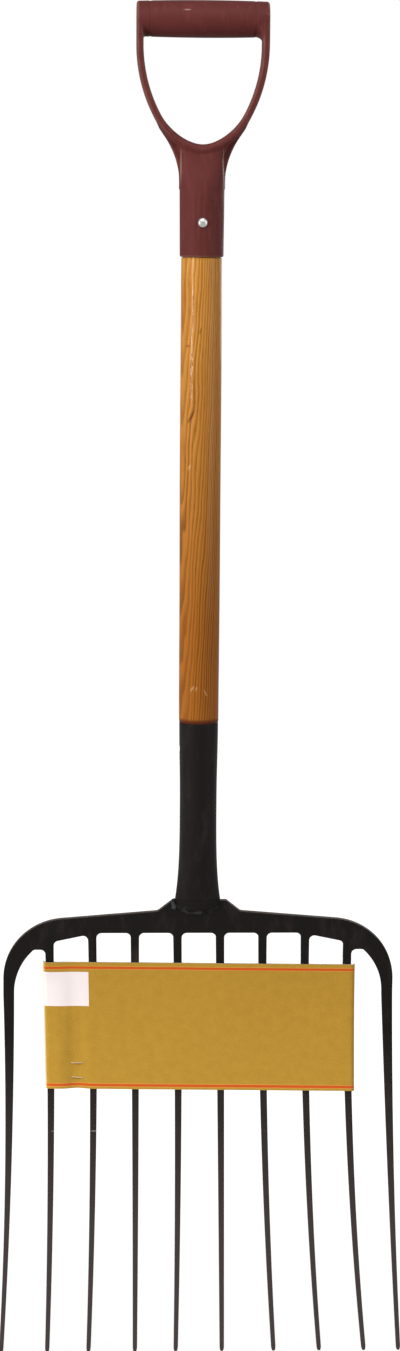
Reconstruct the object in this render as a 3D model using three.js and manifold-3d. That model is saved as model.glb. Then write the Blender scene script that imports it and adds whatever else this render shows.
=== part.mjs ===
// Ensilage fork: a moulded D grip, an ash shaft, a steel tube socket and a ten-tine steel head.
// Millimetres, +Z up. The origin lies under the middle of the grip bar, where the fork hangs on a
// hook. The fork is seen from -Y with +X to the right, and its tine tips curve forward, towards -Y.

import * as THREE from 'three';
import { mergeVertices } from 'three/addons/utils/BufferGeometryUtils.js';
import Module from 'manifold-3d';

const { degToRad, lerp } = THREE.MathUtils;

// Fits and facets shared by all pieces
const clearance = 0.3;
const overrun = 5;
const chordError = 0.12;
const roundSides = 32;
const smallSides = 16;

// D grip: the bar
const gripWidth = 125;
const barRadius = 17.5;
const barEndRadius = 16.4;
const barEdgeRound = 2.2;

// D grip: the arms, one bent strap whose lowest stretch is the lip of the crotch
const armThickness = 6.4;
const armDepthAtBar = 34;
const armDepthAtWaist = 27;
const armDepthAtCrotch = 32;
const armCornerRound = 2.4;
const armStraight = 6;
const armCurveRadius = 141;
const armCurveTurn = degToRad(28);
const handGapHeight = 99;
const crotchEntryShare = 0.56;
const crotchFloorShare = 0.35;

// D grip: the fins that run from the arms into the ferrule
const finTopHalfWidth = 40.3;
const finTopDrop = 84;
const finSlope = degToRad(31.7);
const finBlendRadius = 82;
const finDepthAtTop = 26;
const finDepthAtFoot = 5;

// D grip: the ferrule
const gripLength = 204.6;
const ferruleTopRadius = 21.3;
const ferruleMouthRadius = 20.8;
const ferruleEdgeRound = 1.8;
const ferruleShoulderDrop = 140;
const ferruleDomeRadius = 13;
const boreMouthRadius = 17.7;
const boreEndRadius = 16.6;
const boreDepth = 78;

// Rivet through the ferrule and the shaft
const rivetDrop = 172.1;
const rivetShankRadius = 2.4;
const rivetHeadRadius = 4.6;
const rivetHeadHeight = 2.6;
const rivetTailRadius = 4;
const rivetTailHeight = 1.8;

// Ash shaft
const shaftLength = 446.1;
const shaftTopRadius = 19.25;
const shaftFootRadius = 19.05;
const shaftBelly = 0.4;
const shaftBevelHeight = 2.2;
const tenonTipBevel = 2;
const footTenonShare = 0.72;

// Tube socket
const socketLength = 174.6;
const socketMouthRadius = 18.8;
const socketWaistRadius = 17.85;
const socketEndHalfWidth = 22.1;
const socketEndHalfDepth = 13.75;
const socketWall = 2.3;
const socketWaistShare = 0.43;
const flarePower = 3.6;
const flattenPower = 2;

// Screw in the left side of the socket
const screwDrop = 26.6;
const screwHeadRadius = 3.4;
const screwHeadHeight = 1.7;
const screwHeadClearance = 0.45;
const screwShankRadius = 2;
const screwLength = 22;
const screwTipLength = 4;

// Steel head: one plate, cut as a comb. Drops are measured down the plate from its boss.
const plateThickness = 6;
const headTilt = degToRad(8);
const headOffset = 1.6;
const headCornerRadius = 62;
const bossTopHalfWidth = 26.4;
const bossFootHalfWidth = 40.3;
const bossHeight = 11.3;
const bossTopRound = 1.5;
const bossFootRound = 6;
const barTopSlope = degToRad(4.8);
const barDepth = 33.5;
const slantTop = 35.2;
const slantFoot = 42.4;
const slotTop = 50.7;
const slotWidth = 30.5;
const slotFlat = 11.3;
const slotCornerRound = 3;
const slotCurveShare = 0.9153;
const rootFillet = 5;
const stubBelowFillet = 1.5;
const stubInset = 0.2;
const stubOverlap = 9;

// Tines
const tinePitch = 41.6;
const tineEnd = 447.5;
const tineBendStart = 46;
const tineTurn = degToRad(41.2);
const tineRootWidth = 8.2;
const tineTipWidth = 4.2;
const tineTipThickness = 3.4;
const tineCornerRound = 1;
const tineTipLength = 5;
const tineTipShare = 0.3;
const outerTineWidth = 10.6;
const outerTineBelowSlot = 2.25;
const outerTaperPower = 1.7;

// How each tine strays sideways, from left to right, in shares of the pitch
const tipStrayShares = [-0.156, -0.046, -0.087, -0.007, -0.058, 0.017, 0.224, 0.286, 0.329, 0.178];
const bowShares = [0.066, 0.054, 0.072, 0.031, 0.065, 0.041, -0.029, -0.048, -0.054, 0.022];

// Weld beads
const weldDrop = 9.5;
const weldEndInset = 1.7;
const weldEndShare = 0.35;
const weldProud = 0.9;
const weldRipple = 0.5;
const weldRippleLength = 6.5;
const sideWeldHeight = 4.4;
const sideWeldWidth = 3.9;
const sideWeldDepth = 9;

// Card sleeve wrapped round all but the two outer tines, with its lap behind
const cardThickness = 0.5;
const cardPlay = 0.5;
const cardLeftPlay = 2.7;
const cardRightPlay = 3.9;
const cardBelowSlot = 13.8;
const cardHeight = 128;
const cardTilt = degToRad(0.7);
const cardLeftDrift = 3;
const cardRightDrift = 0.8;
const cardFlapEndShare = 0.856;
const cardLapEndShare = 0.279;

// Two wire staples through the card
const stapleWidth = 12;
const stapleWire = 0.9;
const stapleShare = 0.5914;
const stapleClinch = 3.6;
const stapleDrops = { staple_upper: 102.5, staple_lower: 117 };

// Materials
const maroonPlastic = new THREE.MeshStandardMaterial({ color: '#6b3735', roughness: 0.42, metalness: 0 });
const varnishedAsh = new THREE.MeshStandardMaterial({ color: '#b8823a', roughness: 0.35, metalness: 0 });
const blackPaint = new THREE.MeshStandardMaterial({ color: '#262221', roughness: 0.45, metalness: 0.2 });
const brightSteel = new THREE.MeshStandardMaterial({ color: '#d2d2d0', roughness: 0.25, metalness: 1 });
const goldCard = new THREE.MeshStandardMaterial({ color: '#b68a34', roughness: 0.6, metalness: 0 });

// Evenly spaced values from one number to another
function steps(count, from = 0, to = 1) {
  return Array.from({ length: count + 1 }, (_, i) => lerp(from, to, i / count));
}

// Closed bodies that can be joined and cut
const wasm = await Module();
wasm.setup();

function enclosedVolume(points, triangles) {
  const corner = (i) => new THREE.Vector3().fromArray(points, 3 * triangles[i]);
  let volume = 0;
  for (let i = 0; i < triangles.length; i += 3) {
    volume += corner(i).dot(corner(i + 1).cross(corner(i + 2)));
  }
  return volume;
}

function solidOf(geometry) {
  const bare = geometry.clone();
  bare.deleteAttribute('normal');
  bare.deleteAttribute('uv');
  const merged = mergeVertices(bare);
  const index = merged.index.array;
  const triVerts = [];
  for (let i = 0; i < index.length; i += 3) {
    const [a, b, c] = index.slice(i, i + 3);
    if (a !== b && b !== c && c !== a) triVerts.push(a, b, c);
  }
  const vertProperties = Float32Array.from(merged.attributes.position.array);
  if (enclosedVolume(vertProperties, triVerts) < 0) triVerts.reverse();
  return new wasm.Manifold(new wasm.Mesh({
    numProp: 3, vertProperties, triVerts: Uint32Array.from(triVerts),
  }));
}

function geometryOf(solid) {
  const mesh = solid.getMesh();
  const geometry = new THREE.BufferGeometry();
  geometry.setAttribute('position', new THREE.BufferAttribute(mesh.vertProperties, 3));
  geometry.setIndex(new THREE.BufferAttribute(mesh.triVerts, 1));
  geometry.computeVertexNormals();
  return geometry;
}

function joined(geometries) {
  return geometries.map(solidOf).reduce((whole, part) => whole.add(part));
}

// A closed body through rings of points, with flat ends
function lofted(rings) {
  const sides = rings[0].length;
  const index = [];
  for (let r = 0; r + 1 < rings.length; r++) {
    for (let i = 0; i < sides; i++) {
      const a = r * sides + i;
      const b = r * sides + (i + 1) % sides;
      index.push(a, b, b + sides, a, b + sides, a + sides);
    }
  }
  const last = (rings.length - 1) * sides;
  for (let i = 1; i + 1 < sides; i++) {
    index.push(0, i + 1, i);
    index.push(last, last + i, last + i + 1);
  }
  const geometry = new THREE.BufferGeometry().setFromPoints(rings.flat());
  geometry.setIndex(index);
  return geometry;
}

// A body turned about the vertical axis, from pairs of radius and height
function turned(profile, sides = roundSides) {
  const points = profile.map(([radius, height]) => new THREE.Vector2(radius, height));
  return new THREE.LatheGeometry(points, sides).rotateX(Math.PI / 2);
}

// Points round a rectangle with rounded corners, centred on zero
function roundedSection(halfWidth, halfDepth, round, perCorner) {
  const r = Math.min(round, halfWidth, halfDepth);
  const signs = [[1, 1], [-1, 1], [-1, -1], [1, -1]];
  return signs.flatMap(([sx, sy], corner) => steps(perCorner - 1).map((share) => {
    const angle = (corner + share) * Math.PI / 2;
    return new THREE.Vector2(
      sx * (halfWidth - r) + r * Math.cos(angle), sy * (halfDepth - r) + r * Math.sin(angle));
  }));
}

// Points from one angle to another round a circle, close enough together to look round
function arcPoints(centre, radius, from, to) {
  const step = 2 * Math.acos(1 - Math.min(1, chordError / radius));
  const count = Math.max(2, Math.ceil(Math.abs(to - from) / step));
  return steps(count, from, to).map((angle) => new THREE.Vector2(
    centre.x + radius * Math.cos(angle), centre.y + radius * Math.sin(angle)));
}

// A closed shape from corners of x, y and radius, each corner rounded by its radius
function roundedShape(corners) {
  const points = corners.map(([x, y]) => new THREE.Vector2(x, y));
  return new THREE.Shape(points.flatMap((here, i) => {
    const radius = corners[i][2];
    if (!radius) return [here];
    const back = points.at(i - 1).clone().sub(here).normalize();
    const ahead = points[(i + 1) % points.length].clone().sub(here).normalize();
    const halfAngle = Math.acos(back.dot(ahead)) / 2;
    const middle = back.clone().add(ahead).normalize();
    const centre = here.clone().addScaledVector(middle, radius / Math.sin(halfAngle));
    const start = here.clone().addScaledVector(back, radius / Math.tan(halfAngle));
    const turn = (Math.PI - 2 * halfAngle) * (back.cross(ahead) > 0 ? -1 : 1);
    const angle = start.sub(centre).angle();
    return arcPoints(centre, radius, angle, angle + turn);
  }));
}

// Where the pieces meet, from the hook down
const ferruleMouth = -gripLength;
const socketMouth = ferruleMouth - shaftLength;
const socketEnd = socketMouth - socketLength;
const bossTop = socketEnd - clearance - plateThickness / 2 * Math.sin(headTilt);

// D grip: the strap's middle line runs down one arm, round the crotch and up the other
const armHalf = (gripWidth - armThickness) / 2;
const armBendX = armHalf - armCurveRadius * (1 - Math.cos(armCurveTurn));
const armBendZ = -armStraight - armCurveRadius * Math.sin(armCurveTurn);
const crotchFloor = -handGapHeight - armThickness / 2;

function armLine() {
  const centre = armHalf - armCurveRadius;
  const entryDrop = (armBendZ - crotchFloor) * crotchEntryShare;
  const entryX = armBendX - entryDrop * Math.tan(armCurveTurn);
  const entryZ = armBendZ - entryDrop;
  const floorX = armBendX * crotchFloorShare;
  const line = new THREE.Path();
  line.moveTo(-armHalf, barRadius);
  line.lineTo(-armHalf, -armStraight);
  line.absarc(-centre, -armStraight, armCurveRadius, Math.PI, Math.PI + armCurveTurn, false);
  line.bezierCurveTo(-entryX, entryZ, -floorX, crotchFloor, 0, crotchFloor);
  line.bezierCurveTo(floorX, crotchFloor, entryX, entryZ, armBendX, armBendZ);
  line.absarc(centre, -armStraight, armCurveRadius, -armCurveTurn, 0, false);
  line.lineTo(armHalf, barRadius);
  return line;
}

// The strap is deepest at the bar and narrows halfway down each arm
function armDepth(share) {
  const fromCrotch = Math.abs(2 * share - 1);
  const plain = lerp(armDepthAtCrotch, armDepthAtBar, fromCrotch);
  const narrowing = (armDepthAtCrotch + armDepthAtBar) / 2 - armDepthAtWaist;
  return plain - narrowing * Math.sin(Math.PI * fromCrotch);
}

function gripArms() {
  const line = armLine();
  return lofted(steps(28).map((share) => {
    const at = line.getPointAt(share);
    const along = line.getTangentAt(share);
    return roundedSection(armThickness / 2, armDepth(share) / 2, armCornerRound, 3)
      .map((p) => new THREE.Vector3(at.x - along.y * p.x, p.y, at.y + along.x * p.x));
  }));
}

function gripBar() {
  const end = gripWidth / 2;
  const endFace = barEndRadius - barEdgeRound;
  const barrel = steps(8, -1, 1).map((share) => {
    return [lerp(barRadius, barEndRadius, share ** 2), (end - barEdgeRound) * share];
  });
  return turned([[0, -end], [endFace, -end], ...barrel, [endFace, end], [0, end]])
    .rotateY(Math.PI / 2).translate(0, 0, barRadius);
}

// The fins' outer edge falls in a straight slope, then curves into the ferrule's side
function finHalfWidth(height) {
  const slope = Math.tan(finSlope);
  const slopeFoot = -finTopDrop - (finTopHalfWidth - ferruleTopRadius) / slope;
  const above = height - slopeFoot + finBlendRadius * Math.tan(finSlope / 2);
  if (above <= 0) return ferruleTopRadius;
  if (above < finBlendRadius * Math.sin(finSlope)) {
    return ferruleTopRadius + finBlendRadius - Math.sqrt(finBlendRadius ** 2 - above ** 2);
  }
  return finTopHalfWidth + (height + finTopDrop) * slope;
}

function gripFins() {
  const ring = (height, halfWidth, halfDepth) => roundedSection(halfWidth, halfDepth, halfDepth, 4)
    .map((p) => new THREE.Vector3(p.x, p.y, height));
  const rings = steps(10).map((share) => {
    const height = lerp(-finTopDrop, -ferruleShoulderDrop, share);
    const halfDepth = lerp(finDepthAtTop, finDepthAtFoot, share) / 2;
    return ring(height, finHalfWidth(height) - clearance * share, halfDepth);
  });
  return lofted([ring(armBendZ, armBendX, finDepthAtTop / 2), ...rings]);
}

// What the hand gap takes out of the fins and the ferrule, out to the strap's middle line
function handGap() {
  const gap = new THREE.Shape(armLine().getSpacedPoints(40));
  const depth = armDepthAtBar + overrun;
  return new THREE.ExtrudeGeometry(gap, { depth, bevelEnabled: false })
    .rotateX(Math.PI / 2).translate(0, depth / 2, 0);
}

function ferruleRadius(height) {
  const share = (height - ferruleMouth) / (gripLength - ferruleShoulderDrop);
  return lerp(ferruleMouthRadius, ferruleTopRadius, share);
}

function boreRadius(height) {
  return lerp(boreMouthRadius, boreEndRadius, (height - ferruleMouth) / boreDepth);
}

function ferrule() {
  const domeHeight = ferruleShoulderDrop + crotchFloor;
  const dome = steps(5, 0, Math.PI / 2).map((angle) => [
    lerp(ferruleDomeRadius, ferruleTopRadius, Math.sin(angle)),
    crotchFloor - domeHeight * (1 - Math.cos(angle)),
  ]);
  const edge = steps(2, 0, Math.PI / 2).map((angle) => [
    ferruleMouthRadius - ferruleEdgeRound * (1 - Math.cos(angle)),
    ferruleMouth + ferruleEdgeRound * (1 - Math.sin(angle)),
  ]);
  return turned([[0, crotchFloor], ...dome, ...edge, [0, ferruleMouth]]);
}

function bore() {
  const boreEnd = ferruleMouth + boreDepth;
  const below = ferruleMouth - overrun;
  return turned([[0, boreEnd], [boreEndRadius, boreEnd], [boreRadius(below), below], [0, below]]);
}

function rivetHole() {
  const radius = rivetShankRadius + clearance;
  const length = 2 * ferruleTopRadius + overrun;
  return solidOf(new THREE.CylinderGeometry(radius, radius, length, smallSides)
    .translate(0, 0, -rivetDrop));
}

function dGrip() {
  const web = joined([gripFins(), ferrule()]).subtract(solidOf(handGap()));
  return joined([gripArms(), gripBar()]).add(web).subtract(solidOf(bore())).subtract(rivetHole());
}

// Rivet: a domed head in front, a shank, and a flatter formed tail behind
function rivet() {
  const seat = ferruleRadius(-rivetDrop) + clearance;
  const head = steps(5, 0, Math.PI / 2).map((angle) => [
    rivetHeadRadius * Math.sin(angle), seat + rivetHeadHeight * Math.cos(angle),
  ]);
  const tail = steps(4, Math.PI / 2, 0).map((angle) => [
    rivetTailRadius * Math.sin(angle), -seat - rivetTailHeight * Math.cos(angle),
  ]);
  const profile = [...head, [rivetShankRadius, seat], [rivetShankRadius, -seat], ...tail];
  return solidOf(turned(profile, smallSides).rotateX(Math.PI / 2));
}

// Tube socket: round at its mouth, flared sideways and flattened at its foot
function socketHalf(share, endHalf, power) {
  if (share < socketWaistShare) {
    const blend = (1 + Math.cos(Math.PI * share / socketWaistShare)) / 2;
    return lerp(socketWaistRadius, socketMouthRadius, blend);
  }
  const below = (share - socketWaistShare) / (1 - socketWaistShare);
  return lerp(socketWaistRadius, endHalf, below ** power);
}

function socketHalfWidth(share) {
  return socketHalf(share, socketEndHalfWidth, flarePower);
}

function socketHalfDepth(share) {
  return socketHalf(share, socketEndHalfDepth, flattenPower);
}

function socketSkin(inset, past) {
  const upper = steps(4, 0, socketWaistShare);
  const lower = steps(9, socketWaistShare, 1);
  upper[0] -= past;
  lower[lower.length - 1] += past;
  return lofted([...upper, ...lower.slice(1)].map((share) => {
    return steps(roundSides - 1, 0, 1 - 1 / roundSides).map((turn) => new THREE.Vector3(
      (socketHalfWidth(share) - inset) * Math.cos(2 * Math.PI * turn),
      (socketHalfDepth(share) - inset) * Math.sin(2 * Math.PI * turn),
      socketMouth - socketLength * share,
    ));
  }));
}

// The screw goes in from the left. Its head lies in the tube's wall, on the wood.
const screwHeight = socketMouth - screwDrop;
const screwSeat = socketHalfWidth(screwDrop / socketLength) - socketWall;

function rodFromLeft(radius, from, to) {
  return new THREE.CylinderGeometry(radius, radius, to - from, smallSides)
    .rotateZ(Math.PI / 2).translate((from + to) / 2, 0, screwHeight);
}

function socket() {
  const screwHole = rodFromLeft(
    screwHeadRadius + screwHeadClearance, -socketMouthRadius - overrun, overrun - screwSeat);
  return solidOf(socketSkin(0, 0))
    .subtract(solidOf(socketSkin(socketWall, overrun / socketLength)))
    .subtract(solidOf(screwHole));
}

function screw() {
  return solidOf(turned([
    [0, screwHeadHeight], [screwHeadRadius / 2, screwHeadHeight],
    [screwHeadRadius, screwHeadHeight / 2], [screwHeadRadius, 0],
    [screwShankRadius, 0], [screwShankRadius, screwTipLength - screwLength], [0, -screwLength],
  ], smallSides).rotateY(-Math.PI / 2).translate(-screwSeat, 0, screwHeight));
}

// Ash shaft: a slim barrel between two tenons
function footTenonRadius(share) {
  return Math.min(socketHalfWidth(share), socketHalfDepth(share)) - socketWall - clearance;
}

function shaftRadius(share) {
  return lerp(shaftTopRadius, shaftFootRadius, share) + shaftBelly * Math.sin(Math.PI * share);
}

function shaft() {
  const shoulder = ferruleMouth - clearance;
  const foot = socketMouth + clearance;
  const tenonTop = ferruleMouth + boreDepth - clearance;
  const tenonTip = boreEndRadius - clearance;
  const tenonRoot = boreRadius(shoulder) - clearance;
  const footTip = footTenonRadius(footTenonShare);
  const footEnd = socketMouth - socketLength * footTenonShare;
  const barrel = steps(8).map((share) => {
    return [shaftRadius(share), lerp(shoulder, foot + shaftBevelHeight, share)];
  });
  const footTenon = steps(5, 0, footTenonShare).map((share) => {
    return [footTenonRadius(share), socketMouth - socketLength * share];
  });
  const blank = turned([
    [0, tenonTop], [tenonTip - tenonTipBevel, tenonTop], [tenonTip, tenonTop - tenonTipBevel],
    [tenonRoot, shoulder], ...barrel, [socketMouthRadius, foot], [footTenonRadius(0), foot],
    ...footTenon, [footTip - tenonTipBevel, footEnd - tenonTipBevel], [0, footEnd - tenonTipBevel],
  ]);
  const pilot = rodFromLeft(
    screwShankRadius + clearance, -socketMouthRadius, screwLength + clearance - screwSeat);
  return solidOf(blank).subtract(rivetHole()).subtract(solidOf(pilot));
}

// The head is drawn flat and then bent. A place on it is x across, a drop down the plate from the
// top of its boss, and a distance forward of the plate's middle. Below tineBendStart the plate
// follows one arc, so all that is drawn on it bends alike.
const bendRadius = (tineEnd - tineBendStart) / tineTurn;

function onPlate(x, drop, forward) {
  if (drop <= tineBendStart) return new THREE.Vector3(x, -forward, -drop);
  const angle = (drop - tineBendStart) / bendRadius;
  const reach = bendRadius - forward;
  return new THREE.Vector3(
    x, reach * Math.cos(angle) - bendRadius, -tineBendStart - reach * Math.sin(angle));
}

// Moves each point of a geometry to where a placing function puts it
function placed(geometry, place) {
  const position = geometry.attributes.position;
  for (let i = 0; i < position.count; i++) {
    const at = place(position.getX(i), position.getY(i), position.getZ(i));
    position.setXYZ(i, at.x, at.y, at.z);
  }
  return geometry;
}

// The tines' places from left to right. The first and the last run on from the plate's corners,
// outside the slots that end beside the ninth tine and the second.
const tineCount = tipStrayShares.length;
const lastTine = tineCount - 1;
const tineRoots = steps(lastTine, -lastTine / 2, lastTine / 2).map((place) => place * tinePitch);
const slotInside = tineRoots[lastTine - 1] + tineRootWidth / 2;
const slotOutside = slotInside + slotWidth;
const headHalfWidth = slotOutside + outerTineWidth;
tineRoots[0] = outerTineWidth / 2 - headHalfWidth;
tineRoots[lastTine] = headHalfWidth - outerTineWidth / 2;

// A slot's outer side leaves its flat top at 45 degrees and curves down into the outer tine
const slotRun = slotWidth - slotFlat;
const slotElbow = slotTop + slotRun;
const slotCurveReach = slotCurveShare * Math.hypot(slotRun, slotRun);
const slotCurveRadius = slotCurveReach / Math.tan(Math.PI / 8);
const outerTineStart = slotElbow + slotCurveReach + outerTineBelowSlot;

const isOuter = (i) => i === 0 || i === lastTine;
const isBesideSlot = (i) => i === 1 || i === lastTine - 1;

// How far down the plate's own stub of a tine reaches
function stubFoot(i) {
  if (isOuter(i)) return outerTineStart;
  return (isBesideSlot(i) ? slotTop : barDepth) + rootFillet + stubBelowFillet;
}

// Where the gaps on the outer and the inner side of a tine in the right half begin
function gapTops(i) {
  if (i === lastTine - 1) return [slotTop, slantFoot];
  if (i === lastTine - 2) return [slantTop, barDepth];
  return [barDepth, barDepth];
}

// The right half of the plate above its tines, from the boss round to the middle
function rightCorners() {
  const half = tineRootWidth / 2;
  const barTopAtSide = bossHeight + (headHalfWidth - bossFootHalfWidth) * Math.tan(barTopSlope);
  const corners = [
    [bossTopHalfWidth, 0, bossTopRound],
    [bossFootHalfWidth, -bossHeight, bossFootRound],
    [headHalfWidth, -barTopAtSide, headCornerRadius],
    [headHalfWidth, -outerTineStart, 0],
    [slotOutside, -outerTineStart, 0],
    [slotOutside, -slotElbow, slotCurveRadius],
    [slotInside + slotFlat, -slotTop, slotCornerRound],
  ];
  for (let i = lastTine - 1; i >= tineCount / 2; i--) {
    const [outsideTop, insideTop] = gapTops(i);
    corners.push(
      [tineRoots[i] + half, -outsideTop, rootFillet],
      [tineRoots[i] + half, -stubFoot(i), 0],
      [tineRoots[i] - half, -stubFoot(i), 0],
      [tineRoots[i] - half, -insideTop, rootFillet]);
  }
  return corners;
}

function plateTop() {
  const right = rightCorners();
  const left = right.map(([x, y, radius]) => [-x, y, radius]).reverse();
  const blank = new THREE.ExtrudeGeometry(
    roundedShape([...right, ...left]), { depth: plateThickness, bevelEnabled: false });
  return placed(blank, (x, up, through) => onPlate(x, -up, through - plateThickness / 2));
}

// A tine starts inside its stub and tapers to a rounded point
function tine(i) {
  const foot = stubFoot(i);
  const tipStart = tineEnd - tineTipLength;
  const tipDrops = steps(3, Math.PI / 6, Math.PI / 2)
    .map((angle) => tipStart + tineTipLength * Math.sin(angle));
  const drops = [foot - stubOverlap, ...steps(12, foot, tipStart), ...tipDrops];
  const rootWidth = (isOuter(i) ? outerTineWidth : tineRootWidth) - 2 * stubInset;
  const power = isOuter(i) ? outerTaperPower : 1;
  return lofted(drops.map((drop) => {
    const share = Math.max(0, (drop - foot) / (tineEnd - foot));
    const inTip = Math.max(0, (drop - tipStart) / tineTipLength);
    const blunt = lerp(tineTipShare, 1, Math.sqrt(1 - inTip ** 2));
    const width = blunt * lerp(tineTipWidth, rootWidth, (1 - share) ** power);
    const thickness = blunt * lerp(plateThickness - 2 * stubInset, tineTipThickness, share);
    const stray = tipStrayShares[i] * share + bowShares[i] * 4 * share * (1 - share);
    const middle = tineRoots[i] + tinePitch * stray;
    return roundedSection(width / 2, thickness / 2, tineCornerRound * blunt, 2)
      .map((p) => onPlate(middle + p.x, drop, p.y));
  }));
}

function headPlate() {
  return joined([plateTop(), ...tineRoots.map((_, i) => tine(i))]);
}

// Weld beads, drawn in the upright frame of the socket: front and back of the plate, and one in
// the corner at the socket's left side
function besidePlate(side, drop) {
  const forward = side * (plateThickness / 2 + clearance);
  return new THREE.Vector2(
    drop * Math.sin(headTilt) - forward * Math.cos(headTilt),
    bossTop - drop * Math.cos(headTilt) - forward * Math.sin(headTilt));
}

function faceWeld(side) {
  const reach = socketEndHalfWidth - weldEndInset;
  const under = socketEnd - clearance;
  const seat = besidePlate(side, 0);
  const inner = new THREE.Vector2(seat.x + (seat.y - under) * Math.tan(headTilt), under);
  return solidOf(lofted(steps(18, -1, 1).map((share) => {
    const x = share * reach;
    const ripple = weldRipple * Math.sin(2 * Math.PI * x / weldRippleLength);
    const oval = socketEndHalfDepth * Math.sqrt(1 - (x / socketEndHalfWidth) ** 2);
    const bulge = (1 - share ** 4) * (weldProud + ripple);
    const drop = weldDrop * lerp(weldEndShare, 1, Math.sqrt(1 - share ** 2)) + ripple;
    const lip = new THREE.Vector2(-side * (oval + bulge), under);
    const toe = besidePlate(side, drop);
    const face = steps(4).map((t) => {
      const swell = bulge * Math.sin(Math.PI * t);
      return lip.clone().lerp(toe, t).add(new THREE.Vector2(-side * swell, -swell / 2));
    });
    return [inner, ...face].map((p) => new THREE.Vector3(x, p.x, p.y));
  })));
}

function leftWeld() {
  const wall = -socketEndHalfWidth - clearance;
  const shelf = bossTop + clearance + plateThickness / 2 * Math.sin(headTilt);
  return solidOf(lofted(steps(6, -1, 1).map((share) => {
    const size = Math.cos(share);
    const y = share * sideWeldDepth / 2;
    const face = steps(4, 0, Math.PI / 2).map((angle) => new THREE.Vector3(
      wall - size * sideWeldWidth * Math.cos(angle), y,
      shelf + size * sideWeldHeight * Math.sin(angle)));
    return [new THREE.Vector3(wall, y, shelf), ...face];
  })));
}

// Card sleeve. Its flap folds round behind the second tine, and the long end laps over the flap.
const frontLevel = plateThickness / 2 + cardPlay + cardThickness / 2;
const lapLevel = frontLevel + cardThickness + clearance;
const cardLeft = -slotInside - cardLeftPlay;
const cardRight = slotInside + cardRightPlay;
const pastSecondTine = (share) => lerp(tineRoots[1], tineRoots[2], share);
const stapleCentre = pastSecondTine(stapleShare);
const cardTop = slotTop + cardBelowSlot;

function sleeveShape() {
  const rightRadius = (frontLevel + lapLevel) / 2;
  const leftFold = { x: cardLeft + frontLevel + cardThickness / 2, y: 0 };
  const rightFold = { x: cardRight - rightRadius - cardThickness / 2, y: frontLevel - rightRadius };
  const skin = (offset) => [
    new THREE.Vector2(pastSecondTine(cardFlapEndShare), -frontLevel - offset),
    ...arcPoints(leftFold, frontLevel + offset, -Math.PI / 2, -Math.PI * 3 / 2),
    ...arcPoints(rightFold, rightRadius + offset, Math.PI / 2, -Math.PI / 2),
    new THREE.Vector2(pastSecondTine(cardLapEndShare), -lapLevel - offset),
  ];
  return new THREE.Shape([...skin(cardThickness / 2), ...skin(-cardThickness / 2).reverse()]);
}

function onCard(x, forward, down) {
  const across = (x - cardLeft) / (cardRight - cardLeft);
  const drift = lerp(cardLeftDrift, cardRightDrift, across) * down / cardHeight;
  return onPlate(x + drift, cardTop + down + x * Math.tan(cardTilt), forward);
}

// A staple's outline, seen along its wire's thickness
function stapleShape() {
  const outside = stapleWidth / 2;
  const inside = outside - stapleWire;
  const front = frontLevel + cardThickness / 2 + clearance;
  const back = -lapLevel - cardThickness / 2 - clearance;
  const right = [
    [outside, front + stapleWire], [outside, back - stapleWire],
    [outside - stapleClinch, back - stapleWire], [outside - stapleClinch, back],
    [inside, back], [inside, front],
  ];
  const left = right.map(([x, forward]) => [-x, forward]).reverse();
  return new THREE.Shape([...right, ...left].map(([x, forward]) => new THREE.Vector2(x, forward)));
}

function staple(drop) {
  const wire = new THREE.ExtrudeGeometry(stapleShape(), { depth: stapleWire, bevelEnabled: false });
  return solidOf(placed(wire.translate(stapleCentre, 0, drop - stapleWire / 2), onCard));
}

function legHole(side, drop) {
  const size = stapleWire + 2 * clearance;
  const leg = stapleCentre + side * (stapleWidth - stapleWire) / 2;
  const hole = new THREE.BoxGeometry(size, 2 * (lapLevel + overrun), size).translate(leg, 0, drop);
  return solidOf(placed(hole, onCard));
}

function cardSleeve() {
  const wrap = new THREE.ExtrudeGeometry(
    sleeveShape(), { depth: cardHeight, steps: 8, bevelEnabled: false });
  const holes = Object.values(stapleDrops)
    .flatMap((drop) => [legHole(-1, drop), legHole(1, drop)]);
  return holes.reduce((card, hole) => card.subtract(hole), solidOf(placed(wrap, onCard)));
}

// The whole fork. The head group carries what is drawn on the plate.
const fork = new THREE.Group();
const head = new THREE.Group();
head.position.set(headOffset, 0, bossTop);
head.rotation.x = headTilt;
fork.add(head);

function addPiece(parent, name, solid, material) {
  const mesh = new THREE.Mesh(geometryOf(solid), material);
  mesh.name = name;
  parent.add(mesh);
}

addPiece(fork, 'd_grip', dGrip(), maroonPlastic);
addPiece(fork, 'grip_rivet', rivet().translate(0, 0, -rivetDrop), brightSteel);
addPiece(fork, 'shaft', shaft(), varnishedAsh);
addPiece(fork, 'socket', socket(), blackPaint);
addPiece(fork, 'socket_screw', screw(), brightSteel);
addPiece(fork, 'weld_front', faceWeld(1), blackPaint);
addPiece(fork, 'weld_back', faceWeld(-1), blackPaint);
addPiece(fork, 'weld_left', leftWeld(), blackPaint);
addPiece(head, 'head_plate', headPlate(), blackPaint);
addPiece(head, 'card_sleeve', cardSleeve(), goldCard);
for (const [name, drop] of Object.entries(stapleDrops)) {
  addPiece(head, name, staple(drop), brightSteel);
}

export default fork;
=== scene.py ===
import math

import bmesh
import bpy
import numpy as np
from mathutils import Matrix, Vector


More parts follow.
